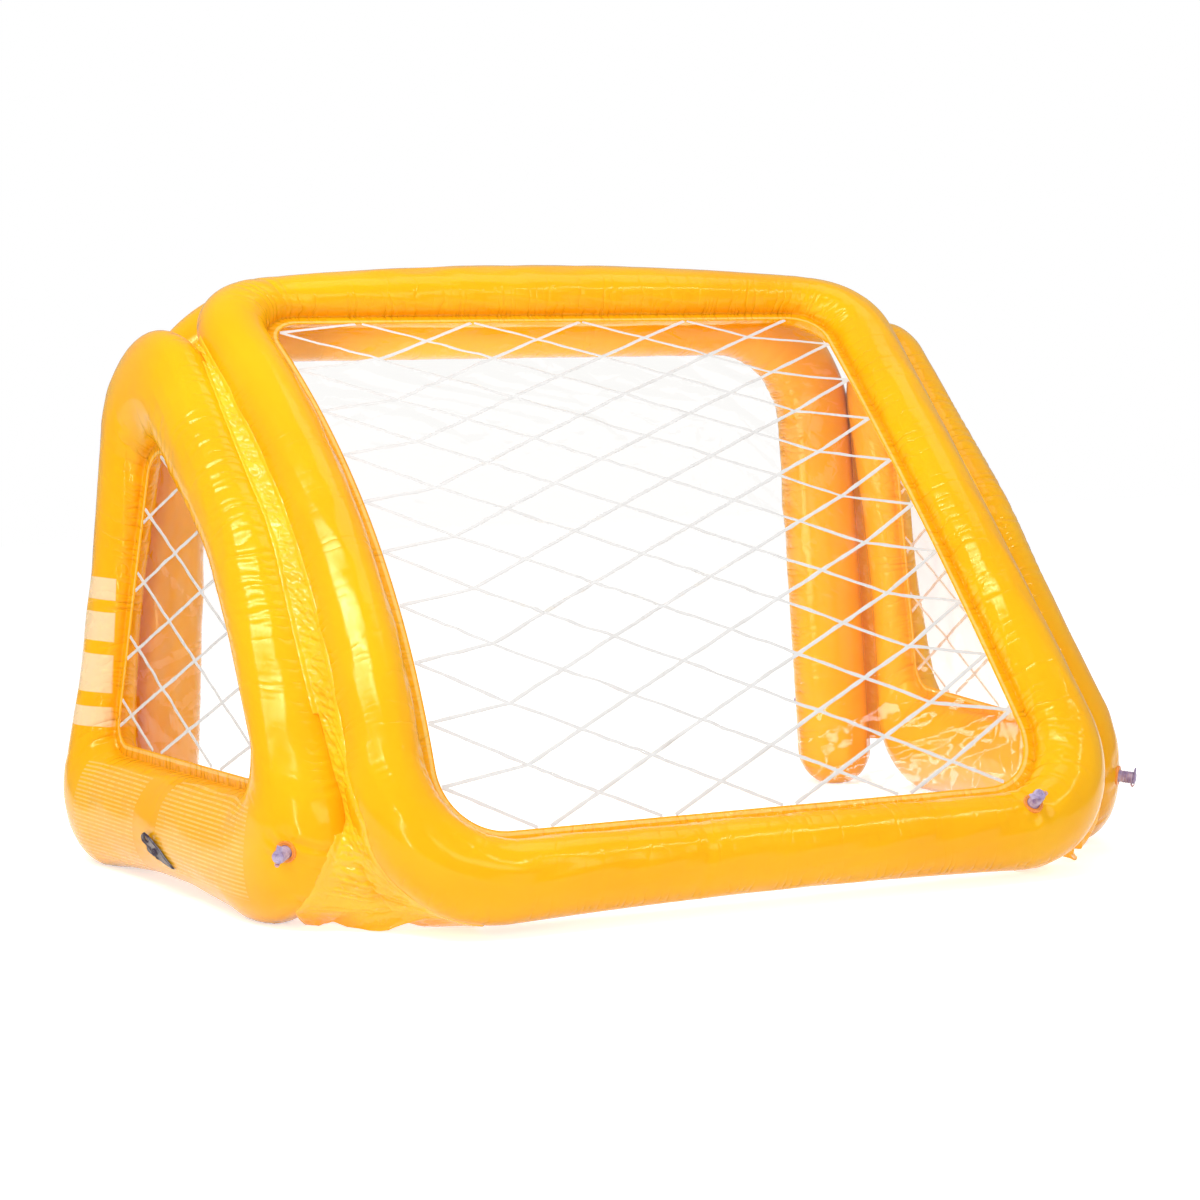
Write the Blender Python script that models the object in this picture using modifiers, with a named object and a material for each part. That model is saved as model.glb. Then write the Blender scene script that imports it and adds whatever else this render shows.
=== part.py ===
"""Inflatable goal: four air chambers, clear windows with a printed net, seams, four valves and two rope tabs.

Metres, +Z up. The origin is on the floor in the middle of the footprint. The mouth faces -Y and
the back leans from the floor at +Y forward to the crossbar. "Right" is +X.
"""

import math

import bmesh
import bpy
import numpy as np
from mathutils import Matrix, Vector

GAP = 0.0003
FLOOR_REACH = 1.5
FLOOR_DEPTH = 0.5

# Welded sheet: the flat weld margin inside each ring
WELD_MARGIN = 0.016
WELD_THICKNESS = 0.0012

# Back ring, in its own leaning plane: across is X, up the slope from the rear bottom bar
BACK_FOOT_Y = 0.3965
BACK_FOOT_Z = 0.0594
BACK_SLOPE = math.radians(45.97)
BACK_RISE = 0.935
BACK_BOW = 0.055
BACK_WAIST = 0.075
BACK_WINDOW_HALF_BOTTOM = 0.420
BACK_WINDOW_HALF_TOP = 0.424
BACK_WINDOW_BOTTOM = 0.0616
BACK_WINDOW_TOP = 0.890
BACK_BOTTOM_TUBE = 0.0456
BACK_LEG_TUBE = 0.046
BACK_TOP_TUBE = 0.036
BACK_WINDOW_FILLET_BOTTOM = 0.085
BACK_WINDOW_FILLET_TOP = 0.045
BACK_OUTER_FILLET_BOTTOM = 0.19
BACK_OUTER_FILLET_TOP = 0.14
BACK_SWELL_HALF = 0.43
BACK_TOP_SWELL = 0.027
BACK_BOTTOM_RISE = 0.010
BACK_PUFF_LIMIT = 0.08

# Side rings, in their own plane: along runs to the rear, up runs to the crossbar
SIDE_BEYOND_WINDOW = 0.1874
SIDE_PLANE_Y = -0.0378
SIDE_TOE_IN = math.radians(8.6)
SIDE_LEAN_IN = math.radians(7.0)
SIDE_WINDOW_FRONT = -0.2235
SIDE_WINDOW_REAR = 0.2523
SIDE_WINDOW_BOTTOM = 0.1583
SIDE_WINDOW_KNEE = (0.0189, 0.4042)
SIDE_WINDOW_APEX = (-0.1978, 0.5686)
SIDE_OUTER_FRONT = -0.3099
SIDE_OUTER_REAR = 0.4564
SIDE_OUTER_BOTTOM = -0.0035
SIDE_OUTER_KNEE = (0.1157, 0.4647)
SIDE_OUTER_APEX = (-0.3156, 0.8505)
SIDE_WINDOW_FILLET_FRONT = 0.030
SIDE_WINDOW_FILLET_REAR = 0.040
SIDE_WINDOW_FILLET_KNEE = 0.35
SIDE_WINDOW_FILLET_APEX = 0.030
SIDE_OUTER_FILLET_FRONT = 0.107
SIDE_OUTER_FILLET_REAR = 0.114
SIDE_OUTER_FILLET_KNEE = 0.45
SIDE_OUTER_FILLET_APEX = 0.116
SIDE_BELLY_RISE = 0.016
SIDE_BELLY_FRONT = -0.195
SIDE_BELLY_REAR = 0.215
SIDE_PUFF_LIMIT = 0.062
PONTOON_ROUNDNESS = 0.93
DOME_ROUNDNESS = 0.72
PONTOON_LEVEL = 0.08
DOME_LEVEL = 0.60

# Mouth frame: an upside-down U of one tube, its corners rounded
MOUTH_FOOT_BEYOND_WINDOW = 0.120
MOUTH_FOOT_Y = -0.3648
MOUTH_TOP_BEYOND_WINDOW = 0.078
MOUTH_TOP_Y = -0.3824
MOUTH_TOP_Z = 0.710
MOUTH_TUBE = 0.0545
MOUTH_CORNER = 0.158
MOUTH_FOOT_CUT = 0.004

# Films and printed nets
FILM_THICKNESS = 0.0003
FILM_EDGE_GAP = 0.0008
NET_THICKNESS = 0.0004
NET_LIFT = 0.0012
NET_LINE = 0.005
NET_EDGE_GAP = 0.001
BACK_NET_ROWS = 21
BACK_NET_OVERRUN = 0.003
BACK_NET_COLUMN = 0.082
BACK_NET_BORDER_RISE = 0.022
SIDE_NET_ALONG = -0.186
SIDE_NET_UP = 0.2412
SIDE_NET_COLUMN = 0.085
SIDE_NET_ROW = 0.0438

# Seams: strips of sheet in the valleys between two tubes
SEAM_THICKNESS = 0.0008
SEAM_CLEARANCE = 0.0026
SEAM_OFFSET = SEAM_CLEARANCE + SEAM_THICKNESS / 2
BACK_SEAM_TOP_Z = 0.690
BACK_SEAM_APRON_Z = 0.130
BACK_SEAM_HEM_Z = 0.022
BACK_SEAM_HEM_TURN = math.radians(-38)
BACK_SEAM_DEPTH = math.radians(40)
FRONT_SEAM_BOTTOM_Z = 0.10
FRONT_SEAM_TOP_Z = 0.54
FRONT_SEAM_DEPTH = math.radians(42)
ROOF_SEAM_HALF = 0.34
ROOF_SEAM_DEPTH = math.radians(30)

# Valves, each along its own axis out of the tube
SEAT_RADIUS = 0.0135
SEAT_DEPTH = 0.0030
SOCKET_RADIUS = 0.0105
SOCKET_DEPTH = 0.034
BASE_RADIUS = 0.013
BASE_HOLE = 0.0084
BASE_PROUD = 0.0012
STEM_RADIUS = 0.008
STEM_RIM_RADIUS = 0.0093
STEM_BORE = 0.0042
STEM_PROUD = 0.020
STEM_RIM_HEIGHT = 0.002
STEM_RIDGES = 3
RIDGE_PITCH = 0.0036
RIDGE_DEPTH = 0.0008
PLUG_RADIUS = 0.0075
PLUG_HEIGHT = 0.0025
PLUG_PEG_RADIUS = 0.0038
PLUG_PEG_LENGTH = 0.008
PLUG_RING = 0.0045
PLUG_GROOVE = 0.0005
PULL_TAB_WIDTH = 0.008
PULL_TAB_LENGTH = 0.0065
PULL_TAB_THICKNESS = 0.0014
STRAP_WIDTH = 0.004
STRAP_THICKNESS = 0.001
STRAP_BULGE = 0.0035
STRAP_DROP = 0.003
FLAP_RADIUS = 0.0052
FLAP_THICKNESS = 0.001
TURN_STEPS = 20

# Where the valves sit: station along the ring and angle round the tube, or the share of a post's height
SIDE_VALVE_STATION = 17.85
SIDE_VALVE_ANGLE = math.radians(39)
BACK_VALVE_STATION = 5.5
BACK_VALVE_ANGLE = math.radians(100)
MOUTH_VALVE_HEIGHT = 0.17
MOUTH_VALVE_TURN = math.radians(77)

# Rope tabs on the pontoons' outer faces
TAB_ALONG = 0.036
TAB_ANGLE = math.radians(68)
TAB_THICKNESS = 0.0018
TAB_CLEARANCE = 0.0008
TAB_LIFT = 0.006
TAB_HOLE = 0.0042
TAB_HOLE_ALONG = -0.0154
TAB_HOLE_UP = 0.0118
TAB_BOSS_RADIUS = 0.0045
TAB_BOSS_HEIGHT = 0.003
TAB_BOSS_ALONG = -0.007
TAB_BOSS_UP = -0.0048
# Left and right edge of the tab at each height, from its tail to its upper lobe
TAB_OUTLINE = (
    (-0.0218, 0.025, 0.031),
    (-0.0175, 0.0056, 0.028),
    (-0.0133, -0.0098, 0.024),
    (-0.0097, -0.025, 0.0207),
    (-0.0060, -0.0288, 0.0174),
    (0.0, -0.0266, 0.0118),
    (0.0060, -0.030, 0.0067),
    (0.0109, -0.0308, 0.0022),
    (0.0157, -0.0266, -0.004),
    (0.0190, -0.0175, -0.0145),
)

COLOURS = {
    "orange_vinyl": ((1.0, 0.55, 0.02), 0.16, 1.0),
    "clear_film": ((1.0, 0.80, 0.62), 0.05, 0.35),
    "white_print": ((0.95, 0.93, 0.90), 0.4, 1.0),
    "valve_base": ((0.95, 0.30, 0.04), 0.3, 1.0),
    "valve_lilac": ((0.36, 0.27, 0.50), 0.25, 1.0),
    "dark_tab": ((0.03, 0.02, 0.035), 0.3, 1.0),
}


def clear_scene():
    for item in list(bpy.data.objects):
        bpy.data.objects.remove(item, do_unlink=True)


def material(slot):
    """The named material, made the first time it is asked for."""
    found = bpy.data.materials.get(slot)
    if found:
        return found
    colour, roughness, alpha = COLOURS[slot]
    made = bpy.data.materials.new(slot)
    made.use_nodes = True
    shader = made.node_tree.nodes["Principled BSDF"]
    shader.inputs["Base Color"].default_value = (*colour, 1.0)
    shader.inputs["Roughness"].default_value = roughness
    shader.inputs["Metallic"].default_value = 0.0
    shader.inputs["Alpha"].default_value = alpha
    return made


def add_object(name, mesh, slot, collection):
    made = bpy.data.objects.new(name, mesh)
    collection.objects.link(made)
    if slot:
        mesh.materials.clear()
        mesh.materials.append(material(slot))
    return made


def unit(vectors):
    """Vectors of length one, for one vector or an array of them."""
    vectors = np.asarray(vectors, float)
    return vectors / np.linalg.norm(vectors, axis=-1, keepdims=True)


def rounded_outline(corners, fillets, edge_steps, arc_steps):
    """Closed outline with each corner rounded, as an array of points. Corner i's arc comes before edge i."""
    corners = np.array(corners, float)
    count = len(corners)
    arcs = []
    for i in range(count):
        to_before = unit(corners[i - 1] - corners[i])
        to_after = unit(corners[(i + 1) % count] - corners[i])
        half = 0.5 * math.acos(float(to_before @ to_after))
        centre = corners[i] + unit(to_before + to_after) * fillets[i] / math.sin(half)
        start = corners[i] + to_before * fillets[i] / math.tan(half) - centre
        end = corners[i] + to_after * fillets[i] / math.tan(half) - centre
        turn = math.pi - 2 * half
        part = np.linspace(0, 1, arc_steps[i] + 1)[:, None]
        sweep = np.sin((1 - part) * turn) * start + np.sin(part * turn) * end
        arcs.append(centre + sweep / math.sin(turn))
    points = []
    for i in range(count):
        part = np.linspace(0, 1, edge_steps[i] + 1)[1:-1, None]
        points.append(arcs[i])
        points.append(arcs[i][-1] * (1 - part) + arcs[(i + 1) % count][0] * part)
    return np.vstack(points)


def offset_corners(corners, distances):
    """Corners of the anticlockwise polygon whose edge i, from corner i on, lies that far outside this one."""
    corners = np.array(corners, float)
    count = len(corners)
    along = unit(np.roll(corners, -1, axis=0) - corners)
    out = np.stack([along[:, 1], -along[:, 0]], axis=1)
    moved = []
    for i in range(count):
        normals = np.array([out[i - 1], out[i]])
        reach = [normals[0] @ corners[i] + distances[i - 1], normals[1] @ corners[i] + distances[i]]
        moved.append(np.linalg.solve(normals, reach))
    return np.array(moved)


def back_bow(up):
    part = up / BACK_RISE
    return 4 * part * (1 - part)


def place_back(points, height):
    """World points of the back ring's leaning, bowed plane; height is out of it, up and to the rear."""
    points = np.asarray(points, float)
    cosine, sine = math.cos(BACK_SLOPE), math.sin(BACK_SLOPE)
    across, up = points[..., 0], points[..., 1]
    lift = BACK_BOW * back_bow(up) + height
    return np.stack(
        [across, BACK_FOOT_Y - up * cosine + lift * sine, BACK_FOOT_Z + up * sine + lift * cosine],
        axis=-1,
    )


def side_axes():
    """Directions along, up and out of the right side ring's plane."""
    toe = Matrix.Rotation(SIDE_TOE_IN, 3, "Z")
    along = toe @ Vector((0, 1, 0))
    up = toe @ Vector((-math.sin(SIDE_LEAN_IN), 0, math.cos(SIDE_LEAN_IN)))
    out = toe @ Vector((math.cos(SIDE_LEAN_IN), 0, math.sin(SIDE_LEAN_IN)))
    return np.array(along), np.array(up), np.array(out)


def place_side(side):
    """Function that gives world points of the side ring's plane, right for side 1 and left for side -1."""
    along, up, out = side_axes()
    origin = np.array([BACK_WINDOW_HALF_BOTTOM + SIDE_BEYOND_WINDOW, SIDE_PLANE_Y, 0.0])

    def place(points, height):
        points = np.asarray(points, float)
        height = np.broadcast_to(height, points.shape[:-1])
        world = origin + points[..., :1] * along + points[..., 1:] * up + height[..., None] * out
        return world * (side, 1, 1)

    return place


def add_waist(outline):
    """The back ring's outline drawn in at mid height."""
    waist = 1 - BACK_WAIST * back_bow(outline[:, 1])
    return np.stack([outline[:, 0] * waist, outline[:, 1]], axis=1)


def swell_bars(outline):
    """The back ring's outer outline lifted towards its middle: the top bar fuller, the bottom bar slimmer."""
    share = np.clip(1 - (outline[:, 0] / BACK_SWELL_HALF) ** 2, 0, 1)
    lift = np.where(outline[:, 1] > BACK_RISE / 2, BACK_TOP_SWELL, BACK_BOTTOM_RISE)
    return outline + np.stack([np.zeros(len(outline)), lift * share], axis=1)


class Chamber:
    """A welded ring: a flat weld margin inside and a round tube outside it, between two matched outlines."""

    def __init__(self, window, outer, place, puff_limit, roundness=None):
        self.window = window
        self.outer = outer
        self.place = place
        self.across = unit(outer - window)
        weld = window + WELD_MARGIN * self.across
        self.middle = (weld + outer) / 2
        self.half = np.linalg.norm(outer - weld, axis=1) / 2
        self.thick = self.half / (1 + (self.half / puff_limit) ** 6) ** (1 / 6)
        if roundness:
            self.thick = self.thick * roundness(self.middle[:, 1])

    def section(self, station, angles, gap=0.0):
        """World points round the tube. Stations count the outline's points and may lie between two. Angle 0
        is the outer edge, and a positive angle turns to the face that is outside the goal."""
        angles = np.atleast_1d(angles)
        first = int(math.floor(station))
        share = station - first
        ends = []
        for i in (first % len(self.window), (first + 1) % len(self.window)):
            reach = (self.half[i] + gap) * np.cos(angles)
            height = (self.thick[i] + gap) * np.sin(angles)
            ends.append(self.place(self.middle[i] + reach[:, None] * self.across[i], height))
        return ends[0] * (1 - share) + ends[1] * share

    def at(self, station, angle, gap=0.0):
        return self.section(station, angle, gap)[0]

    def centre(self, station):
        return (self.at(station, 0.0) + self.at(station, math.pi)) / 2

    def toward(self, station, direction):
        """The angle round the tube at which it faces a direction."""
        angles = np.radians(np.arange(-180.0, 180.0, 1.0))
        rays = unit(self.section(station, angles) - self.centre(station))
        return float(angles[int(np.argmax(rays @ direction))])

    def touch(self, station, direction, gap):
        """The point at a station that lies in a direction from the tube's centre, a gap off the tube."""
        return self.at(station, self.toward(station, direction), gap)

    def frame_at(self, station, angle):
        """Matrix with its origin on the tube, z out of it and x along the ring."""
        step = 0.05
        along = self.at(station + step, angle) - self.at(station - step, angle)
        around = self.at(station, angle + step) - self.at(station, angle - step)
        point = self.at(station, angle)
        out = unit(np.cross(along, around))
        if out @ (point - self.centre(station)) < 0:
            out = -out
        side = unit(np.cross(out, along))
        return frame_matrix(point, np.cross(side, out), side, out)

    def station_near(self, value_of, value, first, last):
        """The station between two where a rising or falling value, such as a height, is reached."""
        stations = np.arange(first, last + 0.25, 0.25)
        values = np.array([value_of(self.at(station, 0.0)) for station in stations])
        order = np.argsort(values)
        return float(np.interp(value, values[order], stations[order]))

    def mesh(self, name, arc_points=13):
        """The closed mesh of the ring: at every station, the margin's tip, its root and the tube round to the
        other side."""
        start = math.pi - 0.3
        angles = np.linspace(start, -start, arc_points)
        lip = WELD_THICKNESS / 2
        tip = self.window[:, None, :]
        root = tip + WELD_MARGIN * self.across[:, None, :]
        reach = self.half[:, None] * np.cos(angles)
        tube = self.middle[:, None, :] + reach[..., None] * self.across[:, None, :]
        heights = self.thick[:, None] * np.sin(angles)
        flat = np.concatenate([tip, root, tube, root, tip], axis=1)
        edge = np.full((len(self.window), 2), lip)
        height = np.concatenate([edge, heights, -edge], axis=1)
        return ring_mesh(name, self.place(flat, height))


def frame_matrix(point, x_axis, y_axis, z_axis):
    columns = [Vector(x_axis), Vector(y_axis), Vector(z_axis)]
    turn = Matrix(columns).transposed().to_4x4()
    return Matrix.Translation(Vector(point)) @ turn


def outward(mesh):
    """The mesh with its faces turned to point out."""
    work = bmesh.new()
    work.from_mesh(mesh)
    bmesh.ops.recalc_face_normals(work, faces=work.faces)
    if work.calc_volume(signed=True) < 0:
        bmesh.ops.reverse_faces(work, faces=work.faces)
    work.to_mesh(mesh)
    work.free()
    return mesh


def grid_mesh(name, points, close_rows=False, close_columns=False):
    """Mesh of quads over a grid of points, rows by columns."""
    rows, columns = points.shape[:2]
    row = np.arange(rows if close_rows else rows - 1)
    column = np.arange(columns if close_columns else columns - 1)
    r, c = np.meshgrid(row, column, indexing="ij")
    next_r, next_c = (r + 1) % rows, (c + 1) % columns
    quads = np.stack(
        [r * columns + c, next_r * columns + c, next_r * columns + next_c, r * columns + next_c],
        axis=-1,
    ).reshape(-1, 4)
    mesh = bpy.data.meshes.new(name)
    mesh.from_pydata(points.reshape(-1, 3).tolist(), [], quads.tolist())
    return mesh


def ring_mesh(name, points):
    mesh = outward(grid_mesh(name, points, close_rows=True, close_columns=True))
    mesh.shade_smooth()
    return mesh


def cut(target, cutter):
    """Takes the cutter's volume out of the target."""
    step = target.modifiers.new(cutter.name, "BOOLEAN")
    step.operation = "DIFFERENCE"
    step.solver = "EXACT"
    step.object = cutter


def solidify(target, thickness, offset=0.0):
    shell = target.modifiers.new("thickness", "SOLIDIFY")
    shell.thickness = thickness
    shell.offset = offset
    shell.use_even_offset = True


def hide_cutter(cutter):
    cutter.hide_render = True
    cutter.display_type = "WIRE"
    return cutter


def cylinder_cutter(name, radius, low, high, frame, collection, segments=24):
    """A cylinder along the frame's z axis, from low to high."""
    mesh = bpy.data.meshes.new(name)
    work = bmesh.new()
    bmesh.ops.create_cone(
        work, cap_ends=True, segments=segments, radius1=radius, radius2=radius, depth=high - low
    )
    bmesh.ops.translate(work, vec=(0, 0, (low + high) / 2), verts=work.verts)
    work.to_mesh(mesh)
    work.free()
    cutter = add_object(name, mesh, None, collection)
    cutter.matrix_world = frame
    return hide_cutter(cutter)


def turned(name, profile, slot, frame, collection):
    """A turned piece: a closed profile of (radius, height) points, run down its outer side, spun about z."""
    mesh = bpy.data.meshes.new(name)
    points = [(radius, 0.0, height) for radius, height in profile]
    on_axis = profile[0][0] == 0 and profile[-1][0] == 0
    edges = [(i, i + 1) for i in range(len(points) - 1)]
    if not on_axis:
        edges.append((len(points) - 1, 0))
    mesh.from_pydata(points, edges, [])
    made = add_object(name, mesh, slot, collection)
    made.matrix_world = frame
    spin = made.modifiers.new("turn", "SCREW")
    spin.axis = "Z"
    spin.steps = TURN_STEPS
    spin.render_steps = TURN_STEPS
    spin.use_merge_vertices = True
    spin.merge_threshold = 0.00001
    spin.use_smooth_shade = True
    return made


def back_chamber():
    window_corners = [
        (-BACK_WINDOW_HALF_BOTTOM, BACK_WINDOW_BOTTOM),
        (BACK_WINDOW_HALF_BOTTOM, BACK_WINDOW_BOTTOM),
        (BACK_WINDOW_HALF_TOP, BACK_WINDOW_TOP),
        (-BACK_WINDOW_HALF_TOP, BACK_WINDOW_TOP),
    ]
    tubes = (BACK_BOTTOM_TUBE, BACK_LEG_TUBE, BACK_TOP_TUBE, BACK_LEG_TUBE)
    outer_corners = offset_corners(window_corners, [WELD_MARGIN + 2 * tube for tube in tubes])
    bottom, top = BACK_WINDOW_FILLET_BOTTOM, BACK_WINDOW_FILLET_TOP
    outer_bottom, outer_top = BACK_OUTER_FILLET_BOTTOM, BACK_OUTER_FILLET_TOP
    steps = ((6, 9, 6, 9), (6, 6, 6, 6))
    window = rounded_outline(window_corners, (bottom, bottom, top, top), *steps)
    outer = rounded_outline(outer_corners, (outer_bottom, outer_bottom, outer_top, outer_top), *steps)
    return Chamber(add_waist(window), swell_bars(add_waist(outer)), place_back, BACK_PUFF_LIMIT)


def side_roundness(up):
    """How round the tube is at a height in the ring's plane: full at the pontoon, flatter at the dome."""
    return np.interp(up, (PONTOON_LEVEL, DOME_LEVEL), (PONTOON_ROUNDNESS, DOME_ROUNDNESS))


def raise_belly(outline):
    """The pontoon's underside lifted between its two ends, on which it stands."""
    part = np.clip((outline[:, 0] - SIDE_BELLY_FRONT) / (SIDE_BELLY_REAR - SIDE_BELLY_FRONT), 0, 1)
    lift = np.where(outline[:, 1] < SIDE_OUTER_BOTTOM + SIDE_BELLY_RISE / 2, 4 * part * (1 - part), 0)
    return outline + np.stack([np.zeros(len(outline)), SIDE_BELLY_RISE * lift], axis=1)


def side_chamber(side):
    """Corners in turn: front bottom, rear bottom, the leg's knee, top."""
    window_corners = [
        (SIDE_WINDOW_FRONT, SIDE_WINDOW_BOTTOM),
        (SIDE_WINDOW_REAR, SIDE_WINDOW_BOTTOM),
        SIDE_WINDOW_KNEE,
        SIDE_WINDOW_APEX,
    ]
    outer_corners = [
        (SIDE_OUTER_FRONT, SIDE_OUTER_BOTTOM),
        (SIDE_OUTER_REAR, SIDE_OUTER_BOTTOM),
        SIDE_OUTER_KNEE,
        SIDE_OUTER_APEX,
    ]
    window_fillets = (
        SIDE_WINDOW_FILLET_FRONT,
        SIDE_WINDOW_FILLET_REAR,
        SIDE_WINDOW_FILLET_KNEE,
        SIDE_WINDOW_FILLET_APEX,
    )
    outer_fillets = (
        SIDE_OUTER_FILLET_FRONT,
        SIDE_OUTER_FILLET_REAR,
        SIDE_OUTER_FILLET_KNEE,
        SIDE_OUTER_FILLET_APEX,
    )
    steps = ((8, 7, 7, 7), (5, 8, 5, 9))
    window = rounded_outline(window_corners, window_fillets, *steps)
    outer = raise_belly(rounded_outline(outer_corners, outer_fillets, *steps))
    return Chamber(window, outer, place_side(side), SIDE_PUFF_LIMIT, side_roundness)


def floor_cutter(collection):
    low = (-FLOOR_REACH, -FLOOR_REACH, -FLOOR_DEPTH)
    high = (FLOOR_REACH, FLOOR_REACH, 0.0)
    return hide_cutter(box_object("floor_cutter", low, high, None, Matrix(), collection))


def mouth_foot_x():
    return BACK_WINDOW_HALF_BOTTOM + MOUTH_FOOT_BEYOND_WINDOW


def mouth_top_x():
    return BACK_WINDOW_HALF_TOP + MOUTH_TOP_BEYOND_WINDOW


def mouth_axis():
    """Points and radii along the mouth frame's tube, right foot to left foot over the crossbar."""
    foot = np.array([mouth_foot_x(), MOUTH_FOOT_Y, -MOUTH_FOOT_CUT])
    top = np.array([mouth_top_x(), MOUTH_TOP_Y, MOUTH_TOP_Z])
    up = unit(top - foot)
    start = top - up * MOUTH_CORNER
    post = np.linalg.norm(start - foot)
    dome = MOUTH_TUBE * (1 - np.cos(np.radians([22, 40, 58, 75, 90])))
    lengths = np.concatenate([dome, np.linspace(MOUTH_TUBE, post, 5)[1:]])
    points = [foot + up * length for length in lengths]
    across = np.array([-1.0, 0.0, 0.0])
    end = top + across * MOUTH_CORNER
    for part in np.linspace(0, 1, 8)[1:]:
        bend = 1.34 * MOUTH_CORNER / 2.41
        first, second = start + up * bend, end - across * bend
        keep = 1 - part
        inner = 3 * keep * part * (keep * first + part * second)
        points.append(keep**3 * start + inner + part**3 * end)
    points.append(np.array([0.0, MOUTH_TOP_Y, MOUTH_TOP_Z]))
    points = np.array(points)
    left = points[-2::-1] * (-1, 1, 1)
    radii = np.full(len(points), MOUTH_TUBE)
    radii[: len(dome)] = np.sqrt(MOUTH_TUBE**2 - (MOUTH_TUBE - dome) ** 2)
    return np.vstack([points, left]), np.concatenate([radii, radii[-2::-1]])


def tube_mesh(name, points, radii, resolution):
    """Mesh of a bevelled curve through the points, its caps joined to its sides."""
    curve = bpy.data.curves.new(name, "CURVE")
    curve.dimensions = "3D"
    curve.bevel_depth = 1.0
    curve.bevel_resolution = resolution
    curve.use_fill_caps = True
    spline = curve.splines.new("POLY")
    spline.points.add(len(points) - 1)
    for target, point, radius in zip(spline.points, points, radii):
        target.co = (*point, 1.0)
        target.radius = radius
    holder = bpy.data.objects.new(name + "_curve", curve)
    bpy.context.scene.collection.objects.link(holder)
    bpy.context.view_layer.update()
    graph = bpy.context.evaluated_depsgraph_get()
    mesh = bpy.data.meshes.new_from_object(holder.evaluated_get(graph))
    bpy.data.objects.remove(holder, do_unlink=True)
    work = bmesh.new()
    work.from_mesh(mesh)
    bmesh.ops.remove_doubles(work, verts=work.verts, dist=0.00001)
    work.to_mesh(mesh)
    work.free()
    mesh = outward(mesh)
    mesh.shade_smooth()
    return mesh


def mouth_frame(collection):
    points, radii = mouth_axis()
    return add_object("mouth_frame", tube_mesh("mouth_frame", points, radii, 5), "orange_vinyl", collection)


def inset(outline, distance):
    """The outline moved inwards, for a closed anticlockwise outline."""
    along = unit(np.roll(outline, -1, axis=0) - np.roll(outline, 1, axis=0))
    return outline + distance * np.stack([-along[:, 1], along[:, 0]], axis=1)


def back_window(chamber, collection):
    """The bowed film: every band between two level rows is flat."""
    outline = inset(chamber.window, FILM_EDGE_GAP)
    levels = np.unique(outline[:, 1].round(6))
    right = np.array([(outline[np.isclose(outline[:, 1], level), 0].max(), level) for level in levels])
    pairs = np.stack([right, right * (-1, 1)], axis=1)
    mesh = grid_mesh("back_window", place_back(pairs, 0.0))
    made = add_object("back_window", mesh, "clear_film", collection)
    solidify(made, FILM_THICKNESS)
    return made


def side_window(name, chamber, collection):
    outline = chamber.place(inset(chamber.window, FILM_EDGE_GAP), 0.0)
    mesh = bpy.data.meshes.new(name)
    mesh.from_pydata(outline.tolist(), [], [list(range(len(outline)))])
    made = add_object(name, mesh, "clear_film", collection)
    solidify(made, FILM_THICKNESS)
    return made


def inside(outline, point):
    """Whether a closed outline goes round the point."""
    after = np.roll(outline, -1, axis=0)
    crosses = (outline[:, 1] > point[1]) != (after[:, 1] > point[1])
    rise = np.where(crosses, after[:, 1] - outline[:, 1], 1.0)
    reach = outline[:, 0] + (point[1] - outline[:, 1]) / rise * (after[:, 0] - outline[:, 0])
    return bool((crosses & (point[0] < reach)).sum() % 2)


def clip_links(nodes, links, outline):
    """The part of a lattice inside the outline: a line that leaves it ends on it."""
    kept_nodes, kept_links, index = [], [], {}

    def keep(key, point):
        if key not in index:
            index[key] = len(kept_nodes)
            kept_nodes.append(np.asarray(point, float))
        return index[key]

    for a, b in links:
        a_in, b_in = inside(outline, nodes[a]), inside(outline, nodes[b])
        if not (a_in or b_in):
            continue
        if a_in and b_in:
            kept_links.append((keep(a, nodes[a]), keep(b, nodes[b])))
            continue
        if b_in:
            a, b = b, a
        low, high = 0.0, 1.0
        for _ in range(30):
            middle = (low + high) / 2
            point = nodes[a] * (1 - middle) + nodes[b] * middle
            low, high = (middle, high) if inside(outline, point) else (low, middle)
        end = nodes[a] * (1 - low) + nodes[b] * low
        if np.linalg.norm(end - nodes[a]) > NET_LINE:
            kept_links.append((keep(a, nodes[a]), keep((a, b), end)))
    return np.array(kept_nodes), kept_links


def net_surface(nodes, links):
    """Flat points and faces of a net's printed lines: a polygon at each crossing, a quad along each line."""
    spokes = {i: [] for i in range(len(nodes))}
    for a, b in links:
        spokes[a].append(b)
        spokes[b].append(a)
    points, faces, corner = [], [], {}
    half = NET_LINE / 2
    for i, ends in spokes.items():
        rays = {j: unit(nodes[j] - nodes[i]) for j in ends}
        ends = sorted(ends, key=lambda j: math.atan2(rays[j][1], rays[j][0]))
        first = len(points)
        if len(ends) == 1:
            ray = rays[ends[0]]
            side = np.array([-ray[1], ray[0]]) * half
            corner[i, ends[0]] = (first, first + 1)
            points += [nodes[i] - side, nodes[i] + side]
            continue
        for k, j in enumerate(ends):
            ray, after = rays[j], rays[ends[(k + 1) % len(ends)]]
            sine = ray[0] * after[1] - ray[1] * after[0]
            if abs(sine) < 0.05:
                points.append(nodes[i] + half * np.array([-ray[1], ray[0]]))
            else:
                points.append(nodes[i] + half / sine * (ray + after))
            corner[i, j] = (first + (k - 1) % len(ends), first + k)
        if len(ends) > 2:
            faces.append(list(range(first, first + len(ends))))
    for a, b in links:
        faces.append([corner[a, b][0], corner[b, a][1], corner[b, a][0], corner[a, b][1]])
    return np.array(points), faces


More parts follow.
